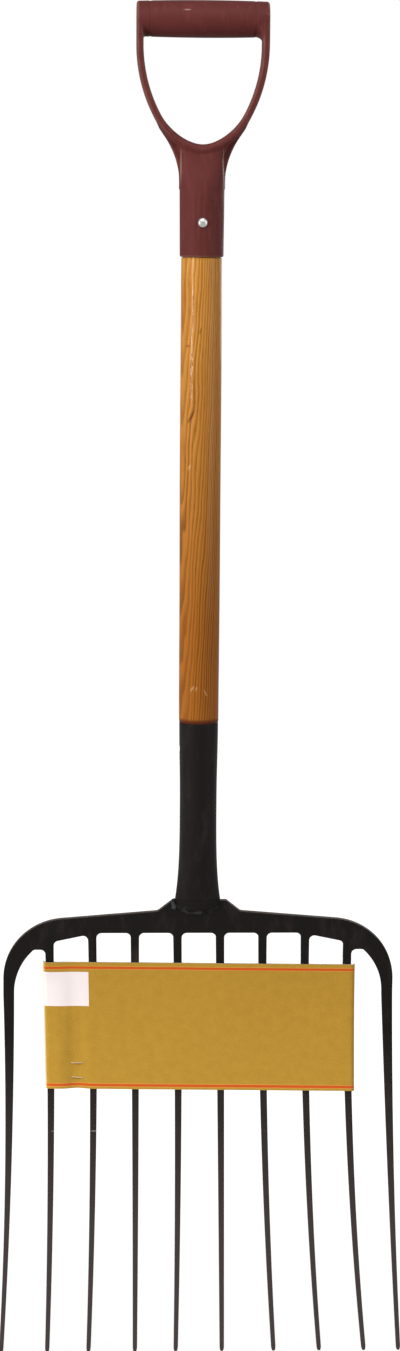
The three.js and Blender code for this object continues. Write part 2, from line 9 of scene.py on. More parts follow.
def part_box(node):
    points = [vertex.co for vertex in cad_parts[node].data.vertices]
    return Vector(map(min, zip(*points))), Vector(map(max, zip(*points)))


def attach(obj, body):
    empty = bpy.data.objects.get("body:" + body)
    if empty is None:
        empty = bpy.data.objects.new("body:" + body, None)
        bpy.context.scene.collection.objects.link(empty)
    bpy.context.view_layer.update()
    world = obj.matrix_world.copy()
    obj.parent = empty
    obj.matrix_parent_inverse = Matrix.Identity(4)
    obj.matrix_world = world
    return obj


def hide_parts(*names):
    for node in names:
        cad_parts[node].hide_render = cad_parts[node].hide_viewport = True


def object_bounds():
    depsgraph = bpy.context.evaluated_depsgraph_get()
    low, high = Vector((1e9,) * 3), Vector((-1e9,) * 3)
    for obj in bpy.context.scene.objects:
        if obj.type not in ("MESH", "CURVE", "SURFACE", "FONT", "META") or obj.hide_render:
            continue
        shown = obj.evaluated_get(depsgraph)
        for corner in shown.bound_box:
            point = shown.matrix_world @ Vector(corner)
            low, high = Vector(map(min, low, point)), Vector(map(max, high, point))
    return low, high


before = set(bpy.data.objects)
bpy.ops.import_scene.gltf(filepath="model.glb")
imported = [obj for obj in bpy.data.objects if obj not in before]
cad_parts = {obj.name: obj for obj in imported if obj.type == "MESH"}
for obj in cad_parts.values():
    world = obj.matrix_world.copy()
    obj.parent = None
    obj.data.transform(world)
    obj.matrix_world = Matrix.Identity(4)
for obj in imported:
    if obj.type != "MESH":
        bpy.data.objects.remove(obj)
cad_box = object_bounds()


# Camera. It stands in front of the fork and a little to its left, at about the height of the grip,
# so it looks down on the tube's round mouth and sees the top edge of the steel bar.
MM = 0.001
picture_height = 1303.7
camera_distance = 3300
camera_elevation = math.radians(8)
camera_azimuth = math.radians(-2.3)
camera_roll = math.radians(0.366)
middle_drop = 605.46
aim_right = 1.0

back = Vector((
    math.sin(camera_azimuth) * math.cos(camera_elevation),
    -math.cos(camera_azimuth) * math.cos(camera_elevation),
    math.sin(camera_elevation)))
level_right = Vector((0, 0, 1)).cross(back).normalized()
level_up = back.cross(level_right)
right = level_right * math.cos(camera_roll) + level_up * math.sin(camera_roll)
up = back.cross(right)


def placed(name, data):
    """A new object in the scene with that data."""
    made = bpy.data.objects.new(name, data)
    bpy.context.collection.objects.link(made)
    return made


lens_data = bpy.data.cameras.new("camera")
lens_data.lens = lens_data.sensor_width * camera_distance / picture_height
camera = placed("camera", lens_data)
camera.matrix_world = Matrix((right, up, back)).transposed().to_4x4()
camera.location = (Vector((0, 0, -middle_drop)) + back * camera_distance + right * aim_right) * MM
bpy.context.scene.camera = camera


# D grip. One piece of glass-filled polypropylene, moulded in a steel tool: a barrel-shaped bar, a
# strap that runs down both sides and round the crotch, and fins that lead into a fluted ferrule.
bar_radius = 17.5
bar_end_radius = 16.4
bar_edge_round = 2.2
strap_thickness = 6.4
strap_depth_at_bar = 33
strap_depth_at_waist = 27
strap_depth_at_crotch = 32
strap_corner_round = 2.4
strap_straight = 6
strap_curve_radius = 141
strap_curve_turn = math.radians(28)
strap_curve_points = 18
strap_crotch_points = 26
hand_gap_height = 99
crotch_entry_share = 0.56
crotch_floor_share = 0.35
bar_fillet_left = 2
bar_fillet_right = 6
web_fillet = 3
fin_top_half_width = 40.3
fin_top_drop = 84
fin_slope = math.radians(31.7)
fin_blend_radius = 82
fin_half_depth_at_top = 6
fin_half_depth_at_foot = 2.6
fin_thin_drop = 114
fin_edge_round = 2.4
fin_fillet = 2
ferrule_radius_at_top = 21.3
ferrule_radius_at_mouth = 20.8
ferrule_edge_round = 1.8
ferrule_shoulder_drop = 140
neck_half_width = 19.6
neck_half_depth = 13.8
neck_foot_drop = 146
neck_flare = 3.2
neck_flare_drop = 112
neck_square = 5
lip_extra = 2.8
lip_start_share = 0.6
lip_round = 5
seam_depth = 0.4
seam_half_width = 0.9
seam_inset = 12.8
bore_radius_at_mouth = 17.7
bore_radius_at_end = 16.6
bore_depth = 78
rivet_drop = 172.1
rivet_hole_radius = 2.7
flute_count = 24
flute_depth = 0.35
flute_top_drop = 149.5
flute_foot_drop = 194
flute_top_fade = 1.5
flute_foot_fade = 14
grip_margin = 2
grip_cell = 0.9


def linear(code):
    """The linear red, green, blue and alpha of an sRGB hex colour."""
    shares = [int(code[i:i + 2], 16) / 255 for i in (1, 3, 5)]
    return (*[s / 12.92 if s <= 0.04045 else ((s + 0.055) / 1.055) ** 2.4 for s in shares], 1)


def add(owner, kind, inputs=None, **settings):
    """A node with its settings and links; the main shader or background is the one there. Inputs
    take values, hex colours, sockets, or nodes, which give their first output."""
    tree = owner.node_tree
    there = kind in ("Principled BSDF", "Background")
    node = tree.nodes[kind] if there else tree.nodes.new("ShaderNode" + kind)
    for name, value in settings.items():
        setattr(node, name, value)
    for name, value in (inputs or {}).items():
        if isinstance(value, str):
            value = linear(value)
        if isinstance(value, bpy.types.Node):
            value = value.outputs[0]
        if isinstance(value, bpy.types.NodeSocket):
            tree.links.new(value, node.inputs[name])
        else:
            node.inputs[name].default_value = value
    return node


def shade(owner, height=None, depth=0, **sockets):
    """Give the main shader these values and links, and a pattern's height as bumps, so many
    millimetres deep."""
    inputs = {socket.replace("_", " "): value for socket, value in sockets.items()}
    if height is not None:
        inputs["Normal"] = add(owner, "Bump", {"Height": height, "Distance": depth * MM})
    add(owner, "Principled BSDF", inputs)


def new_material(name, **sockets):
    """A new material whose main shader has these values on its sockets."""
    material = bpy.data.materials.new(name)
    material.use_nodes = True
    shade(material, **sockets)
    return material


def streaks(owner, place, stretch, size, detail, roughness=0.5):
    """Noise of that size in millimetres, drawn out along each axis where stretch is under 1."""
    place = add(owner, "Mapping", {"Vector": place, "Scale": stretch})
    return add(owner, "TexNoise", {
        "Vector": place, "Scale": 1 / (size * MM), "Detail": detail, "Roughness": roughness})


def tinted(owner, colour, code, value, low, high, most=1.0, **settings):
    """A colour turned towards another, by at most that share, as a value goes from low to high."""
    share = add(owner, "MapRange", {
        "Value": value, "From Min": low, "From Max": high, "To Max": most}, **settings)
    return add(owner, "MixRGB", {"Fac": share, "Color1": colour, "Color2": code})


def marked(owner, colour, code, place, middle, half_size, most, turn=0, rim=(1.2, 0.4)):
    """A colour with a soft oval mark in another, turned that many degrees about y. The mark fades
    in from the first share of its half size to the second."""
    oval = add(owner, "Mapping", {
        "Vector": place, "Location": [v * MM for v in middle], "Scale": [v * MM for v in half_size],
        "Rotation": (0, math.radians(turn), 0)}, vector_type="TEXTURE")
    oval = add(owner, "VectorMath", {0: oval}, operation="LENGTH").outputs["Value"]
    return tinted(owner, colour, code, oval, *rim, most)


def mesh_of(name, vertices, faces, sharp=None):
    """A smooth mesh, with the edges that turn by more than that many degrees kept sharp."""
    mesh = bpy.data.meshes.new(name)
    mesh.from_pydata(np.asarray(vertices, float).tolist(), [], [list(map(int, f)) for f in faces])
    shape = bmesh.new()
    shape.from_mesh(mesh)
    bmesh.ops.recalc_face_normals(shape, faces=shape.faces)
    shape.to_mesh(mesh)
    shape.free()
    mesh.polygons.foreach_set("use_smooth", [True] * len(mesh.polygons))
    if sharp:
        mesh.set_sharp_from_angle(angle=math.radians(sharp))
    return mesh


def as_piece(mesh, materials, node):
    """A mesh in millimetres as a piece of the fork, in place of that node."""
    mesh.transform(Matrix.Scale(MM, 4))
    for material in materials:
        mesh.materials.append(material)
    made = placed(mesh.name, mesh)
    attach(made, "root")
    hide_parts(node)
    return made


def filleted(a, b, radius):
    """Two distance fields as one body, with a fillet of that radius where they meet."""
    corner = np.hypot(np.maximum(radius - a, 0), np.maximum(radius - b, 0))
    return np.maximum(radius, np.minimum(a, b)) - corner


def shared(a, b, radius):
    """What two distance fields share, with its edges rounded by that radius."""
    corner = np.hypot(np.maximum(radius + a, 0), np.maximum(radius + b, 0))
    return np.minimum(-radius, np.maximum(a, b)) + corner


def between(start, end, share):
    """The value that lies that share of the way from start to end."""
    return start + (end - start) * share


def eased(value, low, high):
    """0 up to low, 1 from high on, and a soft step between them."""
    share = np.clip((value - low) / (high - low), 0, 1)
    return share * share * (3 - 2 * share)


def skin(field, lowest, highest, cell, steps=4, reach=0.02):
    """Vertices and four-sided faces of the surface where a distance field crosses zero. Each grid
    cell that the surface crosses gets one vertex, which then slides onto the surface."""
    counts = np.ceil((np.asarray(highest) - lowest) / cell).astype(int) + 1
    axes = [low + cell * np.arange(n) for low, n in zip(lowest, counts)]
    value = np.broadcast_to(field(*np.meshgrid(*axes, indexing="ij", sparse=True)), counts)
    total = np.zeros((*(counts - 1), 3))
    hits = np.zeros(counts - 1)
    crossings = []
    for axis in range(3):
        start = np.delete(value, -1, axis)
        crossed = np.diff(value < 0, axis=axis)
        share = np.where(crossed, -start / np.where(crossed, np.diff(value, axis=axis), 1), 0)
        crossings.append((crossed, start < 0))
        u, v = (axis + 1) % 3, (axis + 2) % 3
        for first, second in ((0, 0), (0, 1), (1, 0), (1, 1)):
            cut = [slice(None)] * 3
            cut[u] = slice(first, first + counts[u] - 1)
            cut[v] = slice(second, second + counts[v] - 1)
            met = crossed[tuple(cut)]
            hits += met
            total[..., axis] += share[tuple(cut)]
            total[..., u] += met * first
            total[..., v] += met * second
    used = hits > 0
    number = np.full(counts - 1, -1)
    number[used] = np.arange(used.sum())
    places = lowest + cell * (np.argwhere(used) + total[used] / hits[used][:, None])
    faces = []
    for axis, (crossed, inward) in enumerate(crossings):
        at = np.argwhere(crossed)
        turns = inward[crossed]
        ring = []
        for du, dv in ((1, 1), (0, 1), (0, 0), (1, 0)):
            corner = at.copy()
            corner[:, (axis + 1) % 3] -= du
            corner[:, (axis + 2) % 3] -= dv
            ring.append(number[tuple(corner.T)])
        quads = np.stack(ring, 1)
        quads[~turns] = quads[~turns][:, ::-1]
        faces.append(quads)
    for _ in range(steps):
        slope = np.stack([(field(*(places + reach * way).T) - field(*(places - reach * way).T))
                          / (2 * reach) for way in np.eye(3)], 1)
        size = np.maximum((slope ** 2).sum(1), 0.2)
        move = np.clip(field(*places.T) / size, -cell / 2, cell / 2)
        places = places - move[:, None] * slope
    return places, np.concatenate(faces)


grip_low, grip_high = [np.array(corner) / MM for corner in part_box("d_grip")]
grip_width = grip_high[0] - grip_low[0]
grip_length = -grip_low[2]
strap_half = (grip_width - strap_thickness) / 2
crotch_floor = -hand_gap_height - strap_thickness / 2
bend_x = strap_half - strap_curve_radius * (1 - math.cos(strap_curve_turn))
bend_z = -strap_straight - strap_curve_radius * math.sin(strap_curve_turn)
entry_drop = (bend_z - crotch_floor) * crotch_entry_share
turns = np.linspace(0, strap_curve_turn, strap_curve_points)
t = np.linspace(0, 1, strap_crotch_points)[1:, None]
strap_line = np.concatenate([
    [[strap_half, bar_radius]],
    np.stack([
        strap_half - strap_curve_radius * (1 - np.cos(turns)),
        -strap_straight - strap_curve_radius * np.sin(turns)], 1),
    (1 - t) ** 3 * [bend_x, bend_z]
    + 3 * (1 - t) ** 2 * t * [bend_x - entry_drop * math.tan(strap_curve_turn), bend_z - entry_drop]
    + 3 * (1 - t) * t ** 2 * [bend_x * crotch_floor_share, crotch_floor]
    + t ** 3 * [0, crotch_floor]])


def from_strap(x, z):
    """How far out a place lies from the strap's middle line, and the share of it run by there."""
    lengths = np.linalg.norm(np.diff(strap_line, axis=0), axis=1)
    run = np.concatenate([[0], lengths.cumsum()]) / lengths.sum()
    nearest, side, share = np.inf, 1.0, 0.0
    for i, (start, end) in enumerate(zip(strap_line[:-1], strap_line[1:])):
        along = (end - start) / lengths[i]
        dx, dz = x - start[0], z - start[1]
        passed = np.clip(dx * along[0] + dz * along[1], 0, lengths[i])
        distance = np.hypot(dx - passed * along[0], dz - passed * along[1])
        closer = distance < nearest
        side = np.where(closer, np.where(dz * along[0] > dx * along[1], 1.0, -1.0), side)
        share = np.where(closer, between(run[i], run[i + 1], passed / lengths[i]), share)
        nearest = np.where(closer, distance, nearest)
    return nearest * side, share


def fin_half_width(z):
    """Half the width across the fins, which hug the strap, then slope in, then curve down."""
    slope = math.tan(fin_slope)
    slope_foot = -fin_top_drop - (fin_top_half_width - ferrule_radius_at_top) / slope
    above = z - slope_foot + fin_blend_radius * math.tan(fin_slope / 2)
    blend = fin_blend_radius * math.sin(fin_slope)
    curve = np.clip(above, 0, blend)
    curved = ferrule_radius_at_top + fin_blend_radius - np.sqrt(fin_blend_radius ** 2 - curve ** 2)
    rise = z + fin_top_drop
    hugging = (bend_x - fin_top_half_width) / (bend_z + fin_top_drop)
    straight = fin_top_half_width + rise * np.where(rise > 0, hugging, slope)
    return np.where(above < blend, curved, straight)


def flutes(x, y, z):
    """How deep the ferrule's upright flutes are at a place."""
    wave = np.maximum(np.cos(flute_count * np.arctan2(x, y)), 0)
    fade = eased(z, -flute_foot_drop, flute_foot_fade - flute_foot_drop)
    return flute_depth * wave * fade * eased(-z, flute_top_drop, flute_top_drop + flute_top_fade)


def grip_field(x, y, z):
    """The distance from the grip's surface, less than zero inside."""
    wide = np.abs(x)
    offset, run = from_strap(wide, z)
    waist = (strap_depth_at_crotch + strap_depth_at_bar) / 2 - strap_depth_at_waist
    depth = between(strap_depth_at_bar, strap_depth_at_crotch, run)
    front = np.abs(y) - (depth - waist * np.sin(math.pi * run)) / 2
    in_lip = eased(run, lip_start_share, 1)
    corner_round = between(strap_corner_round, lip_round, in_lip)
    slab = np.maximum(offset - lip_extra * in_lip, -offset) - strap_thickness / 2
    past_end = wide - grip_width / 2
    bar_here = between(bar_radius, bar_end_radius, (2 * wide / grip_width) ** 2)
    seam = np.exp(-((past_end + seam_inset) / seam_half_width) ** 2)
    bar = np.hypot(y, z - bar_radius) - bar_here + seam_depth * seam
    bar = shared(bar, past_end, bar_edge_round)
    fillet = np.where(x > 0, bar_fillet_right, bar_fillet_left)
    upper = shared(np.maximum(filleted(slab, bar, fillet), past_end), front, corner_round)

    fin_depth = between(
        fin_half_depth_at_top, fin_half_depth_at_foot, eased(-z, fin_top_drop, fin_thin_drop))
    outline = (wide - fin_half_width(z)) * math.cos(fin_slope)
    outline = np.maximum(np.maximum(outline, -ferrule_shoulder_drop - z), z - bend_z)
    fins = shared(outline, np.abs(y) - fin_depth, fin_edge_round)
    neck = eased(z, -neck_foot_drop, crotch_floor)
    rise = z + grip_length
    side = between(ferrule_radius_at_mouth, ferrule_radius_at_top,
                   np.clip(rise / (grip_length - ferrule_shoulder_drop), 0, 1))
    flare = neck_flare * eased(z, -neck_flare_drop, crotch_floor)
    half_width = between(side, neck_half_width, neck) + flare
    half_depth = between(side, neck_half_depth, neck)
    power = between(2, neck_square, neck)
    across = (wide / half_width) ** power + (np.abs(y) / half_depth) ** power
    tube = (across ** (1 / power) - 1) * np.minimum(half_width, half_depth)
    tube = shared(tube + flutes(x, y, z), -grip_length - z, ferrule_edge_round)
    web = np.maximum(filleted(tube, fins, fin_fillet), -offset)
    lower = shared(filleted(slab, web, web_fillet), front, corner_round)
    body = np.minimum(np.minimum(upper, bar), np.minimum(lower, web))

    bore_here = between(bore_radius_at_mouth, bore_radius_at_end, rise / bore_depth)
    bore = np.maximum(np.hypot(x, y) - bore_here, rise - bore_depth)
    hole = np.hypot(x, z + rivet_drop) - rivet_hole_radius
    return np.maximum(body, np.maximum(-bore, -hole))


# Spark-eroded tool: a waxy sheen over a fine even grit, paler where the melt flowed. Pale lines
# along the convex edges and three pale marks, on the bar and down both edges of the neck, are
# painted highlights. The grit is about 0.3 mm across and drawn at 0.8 mm so it shows. A thin line
# runs where the tool parts.
polypropylene = new_material("moulded_polypropylene", IOR=1.49, Specular_IOR_Level=0.08)
metres = add(polypropylene, "TexCoord").outputs["Object"]
cloud = add(polypropylene, "TexNoise", {"Vector": metres, "Scale": 1 / (26 * MM), "Detail": 2.0})
flow = streaks(polypropylene, metres, (1, 1, 0.2), 4, 3.0)
colour = add(polypropylene, "MixRGB", {"Fac": cloud, "Color1": "#5b2b29", "Color2": "#4c221f"})
colour = tinted(
    polypropylene, colour, "#693533", flow, 0.5, 0.75, 0.35, interpolation_type="SMOOTHSTEP")
# Painted highlight: the convex edges, found by pointiness, are turned paler as if light caught
# them.
edge = add(polypropylene, "NewGeometry").outputs["Pointiness"]
colour = tinted(polypropylene, colour, "#9a7868", edge, 0.514, 0.55, 0.5)
# Painted highlights: one small pale mark on the bar and two thin ones down the edges of the neck.
for middle, half_size, most, code in (
        ((-15.2, -15, 25.3), (3.6, 9, 0.8), 0.42, "#b89390"),
        ((-20.4, -8, -118), (0.8, 9, 17), 0.45, "#a08a78"),
        ((19.7, -8, -115), (0.8, 9, 14), 0.5, "#a08a78")):
    colour = marked(polypropylene, colour, code, metres, middle, half_size, most)
gloss = add(polypropylene, "MapRange", {"Value": flow, "To Min": 0.42, "To Max": 0.58})
grit = add(polypropylene, "TexNoise", {"Vector": metres, "Scale": 1 / (0.8 * MM), "Detail": 1.0})
grit_bump = add(polypropylene, "Bump", {"Height": grit, "Distance": 0.025 * MM})
from_joint = add(polypropylene, "SeparateXYZ", {0: metres}).outputs["Y"]
from_joint = add(polypropylene, "Math", {0: from_joint}, operation="ABSOLUTE")
joint_line = add(polypropylene, "MapRange", {
    "Value": from_joint, "From Min": 0.2 * MM, "From Max": 0.6 * MM, "To Min": 1.0, "To Max": 0.0})
joint_bump = add(polypropylene, "Bump", {
    "Height": joint_line, "Distance": 0.12 * MM, "Normal": grit_bump})
shade(polypropylene, Base_Color=colour, Roughness=gloss, Normal=joint_bump)

grip_skin = skin(grip_field, grip_low - grip_margin, grip_high + grip_margin, grip_cell)
as_piece(mesh_of("moulded_d_grip", *grip_skin), [polypropylene], "d_grip")


# Rivet. A bright steel rivet goes through the ferrule and the shaft. Its domed head is in front,
# and its end is hammered down behind.
rivet_shank_radius = 2.4
rivet_head_radius = 4.6
rivet_head_height = 2.6
rivet_tail_radius = 4
rivet_tail_height = 1.8
rivet_seat = 21.2
rivet_sides = 64


def loft(rings):
    """Vertices and faces of a body through rings of as many points each, with flat ends."""
    sides = len(rings[0])
    around = np.arange(sides)
    ahead = (around + 1) % sides
    band = np.stack([around, ahead, sides + ahead, sides + around], 1)
    bands = (band + sides * np.arange(len(rings) - 1)[:, None, None]).reshape(-1, 4)
    ends = [around[::-1].tolist(), (around + (len(rings) - 1) * sides).tolist()]
    return np.concatenate(rings), [*bands.tolist(), *ends]


def lathe(profile, sides):
    """Vertices and faces of a closed body turned about z, from pairs of radius and height."""
    angle = np.arange(sides) * math.tau / sides
    return loft([np.stack([r * np.cos(angle), r * np.sin(angle), np.full(sides, float(h))], 1)
                 for r, h in profile])


def dome(radius, height, count):
    """A dome's profile from its rim on the ferrule to the small flat at its top."""
    angles = np.linspace(0, math.pi / 2 - 0.02, count)
    return [(radius * math.cos(a), rivet_seat + height * math.sin(a)) for a in angles]


# Zinc-plated and rubbed dull in use: bright but soft, with fine dimples of about 1 mm.
zinc = new_material("bright_zinc_plate", Base_Color="#d2d2cf", Metallic=1.0)
metres = add(zinc, "TexCoord").outputs["Object"]
dimple = add(zinc, "TexNoise", {"Vector": metres, "Scale": 1 / (1.1 * MM), "Detail": 2.0})
smear = add(zinc, "MapRange", {"Value": dimple, "To Min": 0.34, "To Max": 0.5})
shade(zinc, dimple, 0.04, Roughness=smear)

tail = [(r, -h) for r, h in dome(rivet_tail_radius, rivet_tail_height, 8)][::-1]
head = dome(rivet_head_radius, rivet_head_height, 12)
profile = [*tail, (rivet_shank_radius, -rivet_seat), (rivet_shank_radius, rivet_seat), *head]
vertices, faces = lathe(profile, rivet_sides)
vertices = np.stack([vertices[:, 0], -vertices[:, 2], vertices[:, 1] - rivet_drop], 1)
rivet = mesh_of("grip_rivet_steel", vertices, faces, 40)
as_piece(rivet, [zinc], "grip_rivet")


# Shaft. A straight-grained ash handle, turned with a slight belly, sanded and dipped in clear
# varnish. A tenon at each end is driven into the grip and the tube, where it can't be seen.
shaft_top_radius = 19.25
shaft_foot_radius = 19.05
shaft_belly = 0.4
shaft_top_chamfer = 0.8
shaft_bevel_height = 2.2
shaft_waver = 0.07
shaft_waves = ((2, 61), (3, -37), (0, 83))  # lobes round it, and mm along it for each radian
shaft_steady_end = 20
shaft_core_radius = 0.5
shaft_fit = 0.3
tenon_bevel = 2
foot_tenon_radius = 15.2
foot_tenon_end_radius = 13
foot_tenon_length = 125.7
socket_mouth_radius = 18.8
shaft_sides = 160
shaft_rings = 90

ring_width = 2.1
pith_right, pith_behind = 46, 20
pith_lean_right, pith_lean_back = 0.030, 0.022

socket_low, socket_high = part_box("socket")
socket_mouth = socket_high.z / MM
shoulder = -grip_length - shaft_fit
shaft_foot = socket_mouth + shaft_fit
tenon_top = -grip_length + bore_depth - shaft_fit
tenon_radius = bore_radius_at_end - shaft_fit

# Ash under clear varnish: amber latewood between darker lines of open pores, each growth ring about
# 2.1 mm wide, darker and browner lower down as painted shade, and darker just above the tube. Its
# fibres are 0.1 mm wide and drawn at 0.6 mm. The coat gives one thin broken highlight.
ash = new_material(
    "varnished_ash", IOR=1.5, Roughness=0.5, Specular_IOR_Level=0.05, Coat_Weight=0.2,
    Coat_Roughness=0.13, Coat_IOR=1.5)
metres = add(ash, "TexCoord").outputs["Object"]
height = add(ash, "SeparateXYZ", {0: metres}).outputs["Z"]
wander = streaks(ash, metres, (1, 1, 0.2), 16, 2.0, 0.45)
wander = add(ash, "MapRange", {"Value": wander, "To Min": -3 * MM, "To Max": 3 * MM})
pith = add(ash, "VectorMath", {
    0: height, 1: (pith_lean_right, pith_lean_back, 1),
    2: (pith_right * MM, pith_behind * MM, 0)}, operation="MULTIPLY_ADD")
from_pith = add(ash, "VectorMath", {0: metres, 1: pith}, operation="DISTANCE").outputs["Value"]
from_pith = add(ash, "Math", {0: from_pith, 1: wander}, operation="ADD")
ring = add(ash, "Math", {0: from_pith, 1: 1 / (ring_width * MM)}, operation="MULTIPLY")
in_ring = add(ash, "Math", {0: ring}, operation="FRACT")
early = add(ash, "MapRange", {
    "Value": in_ring, "From Min": 0.1, "From Max": 0.7, "To Min": 1.0, "To Max": 0.0},
    interpolation_type="SMOOTHSTEP")
late_edge = add(ash, "MapRange", {
    "Value": in_ring, "From Min": 0.85, "From Max": 1.0}, interpolation_type="SMOOTHSTEP")
early = add(ash, "Math", {0: early, 1: late_edge}, operation="MAXIMUM")
which_ring = add(ash, "Math", {0: ring}, operation="FLOOR")
ring_tone = add(ash, "TexWhiteNoise", {"W": which_ring}, noise_dimensions="1D")
fibre = streaks(ash, metres, (1, 1, 0.025), 0.6, 3.0)
pore = streaks(ash, metres, (1, 1, 0.04), 0.5, 1.0)
pore = add(ash, "MapRange", {
    "Value": pore, "From Min": 0.55, "From Max": 0.72, "To Max": 0.7},
    interpolation_type="SMOOTHSTEP")
pore = add(ash, "Math", {0: pore, 1: early}, operation="MULTIPLY")
cloud = streaks(ash, metres, (1, 1, 0.2), 15, 2.0)
# Painted shade: the wood turns darker and browner lower down, as if the light fell off there.
painted_shade_low_down = add(ash, "MapRange", {"Value": height, "From Min": -0.16, "From Max": -0.56})
latewood = add(ash, "MixRGB", {"Fac": painted_shade_low_down, "Color1": "#bf873c", "Color2": "#95581a"})
earlywood = add(ash, "MixRGB", {"Fac": painted_shade_low_down, "Color1": "#89561b", "Color2": "#5f3309"})
tone = add(ash, "MapRange", {"Value": ring_tone.outputs["Value"], "To Min": 0.4, "To Max": 1.0})
tone = add(ash, "Math", {0: tone, 1: early}, operation="MULTIPLY")
wood = add(ash, "MixRGB", {"Fac": tone, "Color1": latewood, "Color2": earlywood})
wood = tinted(ash, wood, "#8f5619", cloud, 0.42, 0.75, 0.35)
wood = tinted(ash, wood, "#86500f", fibre, 0.5, 0.8, 0.4)
wood = add(ash, "MixRGB", {"Fac": pore, "Color1": wood, "Color2": "#69390c"})

# Marks in the wood and on it, each with its x and z, half its width and height, its turn, its share
# and its colour: a small knot with a dark tail, flecks near it, and pale scuffs in the varnish.
blur = add(ash, "TexNoise", {"Vector": metres, "Scale": 1 / (2.5 * MM), "Detail": 3.0})
blur = add(ash, "VectorMath", {0: blur.outputs["Color"], 1: (0.5, 0.5, 0.5)}, operation="SUBTRACT")
blur = add(ash, "VectorMath", {0: blur, "Scale": 2.5 * MM}, operation="SCALE")
blurred = add(ash, "VectorMath", {0: metres, 1: blur}, operation="ADD")
for x, z, half_width, half_height, turn, most, code in (
        (-9.9, -355, 1.3, 6.5, 24, 0.9, "#5c2f0c"), (-7.2, -334, 1.1, 22, -3, 0.5, "#7a4614"),
        (-1.2, -274, 0.9, 4, 12, 0.7, "#6f4012"), (-13.3, -288, 2, 1.3, 0, 0.6, "#6f4012"),
        (-9.5, -306, 1.4, 3, 20, 0.5, "#7a4614"), (-11.2, -403, 1.2, 2.6, 24, 0.22, "#e0be8c"),
        (-7.2, -616, 0.9, 3.2, 30, 0.26, "#e0bd90"), (-3.2, -616, 0.8, 2.4, 14, 0.2, "#e0bd90"),
        (5.6, -620, 0.9, 3.2, -24, 0.26, "#d9b48a")):
    wood = marked(ash, wood, code, blurred, (x, -16, z), (half_width, 12, half_height), most, turn,
                  rim=(1.3, 0.5))
# Darker over the bottom 5 mm of the shaft, just above the tube.
darker_top, darker_full = [(shaft_foot + rise) * MM for rise in (5, 2)]
wood = tinted(ash, wood, "#4a1c0c", height, darker_top, darker_full, 0.95)
sag = streaks(ash, metres, (1, 1, 0.12), 2.2, 2.0)
sag_bump = add(ash, "Bump", {"Height": sag, "Distance": 0.25 * MM})
shade(ash, fibre, 0.05, Base_Color=wood, Coat_Normal=sag_bump)

heights = np.linspace(shoulder - shaft_top_chamfer, shaft_foot + shaft_bevel_height, shaft_rings)
share = (shoulder - heights) / (shoulder - shaft_foot)
radii = between(shaft_top_radius, shaft_foot_radius, share)
radii += shaft_belly * np.sin(math.pi * share)
tenon_foot = shaft_foot - foot_tenon_length
profile = [
    (shaft_core_radius, tenon_top), (tenon_radius - tenon_bevel, tenon_top),
    (tenon_radius, tenon_top - tenon_bevel), (bore_radius_at_mouth - shaft_fit, shoulder),
    (shaft_top_radius - shaft_top_chamfer, shoulder), *zip(radii, heights),
    (socket_mouth_radius, shaft_foot), (foot_tenon_radius, shaft_foot),
    (foot_tenon_radius, (shaft_foot + tenon_foot) / 2), (foot_tenon_end_radius, tenon_foot),
    (shaft_core_radius, tenon_foot)]
vertices, faces = lathe(profile, shaft_sides)
x, y, z = vertices.T
waver = sum(np.sin(lobes * np.arctan2(y, x) + z / length) for lobes, length in shaft_waves)
half_length = (shoulder - shaft_foot) / 2
off_middle = np.abs(z - shaft_foot - half_length)
waver *= shaft_waver * eased(off_middle, half_length, half_length - shaft_steady_end)
vertices[:, :2] *= (1 + waver / shaft_top_radius)[:, None]
shaft = mesh_of("ash_shaft", vertices, faces, 25)
as_piece(shaft, [ash], "shaft")


# Socket. A steel tube, round where it takes the shaft, then flared sideways and pressed flat where
# it is welded to the head. It is painted with the head, and a screw goes in through its left side.
socket_waist_radius = 17.85
socket_end_half_width = 22.1
socket_end_half_depth = 13.75
socket_wall = 2.3
socket_edge_round = 0.5
socket_waist_share = 0.43
flare_power = 3.6
flatten_power = 2
screw_drop = 26.6
screw_hole_radius = 3.85
screw_hole_sides = 48
socket_sides = 128
socket_rings = 72
socket_end = socket_low.z / MM
socket_length = socket_mouth - socket_end


def socket_half(share, end_half, power):
    """Half the tube's width or depth at a share of its length."""
    blend = (1 + np.cos(math.pi * np.minimum(share / socket_waist_share, 1))) / 2
    upper = between(socket_waist_radius, socket_mouth_radius, blend)
    below = np.maximum((share - socket_waist_share) / (1 - socket_waist_share), 0)
    return upper + (end_half - socket_waist_radius) * below ** power


def socket_ring(height, inset):
    """Points round the tube at a height, moved in from its outside."""
    share = np.clip((socket_mouth - height) / socket_length, 0, 1)
    angle = np.arange(socket_sides) * math.tau / socket_sides
    return np.stack([
        (socket_half(share, socket_end_half_width, flare_power) - inset) * np.cos(angle),
        (socket_half(share, socket_end_half_depth, flatten_power) - inset) * np.sin(angle),
        np.full(socket_sides, height)], 1)


# Satin black enamel, sprayed over the bare steel: deep black with a slight orange peel about 3 mm
# across, dusty in broad streaks, with a painted sheen that makes it warmer and greyer down the
# tines, and scuffed pale in a band across two of them.
enamel = new_material("satin_black_enamel", IOR=1.5, Specular_IOR_Level=0.1)
metres = add(enamel, "TexCoord").outputs["Object"]
peel = add(enamel, "TexNoise", {"Vector": metres, "Scale": 1 / (3 * MM), "Detail": 1.0})
dust = streaks(enamel, metres, (1, 1, 0.3), 14, 5.0, 0.65)
dust = add(enamel, "MapRange", {
    "Value": dust, "From Min": 0.48, "From Max": 0.78}, interpolation_type="SMOOTHSTEP")
black = add(enamel, "MixRGB", {"Fac": dust, "Color1": "#171413", "Color2": "#2a2422"})
height = add(enamel, "SeparateXYZ", {0: metres}).outputs["Z"]
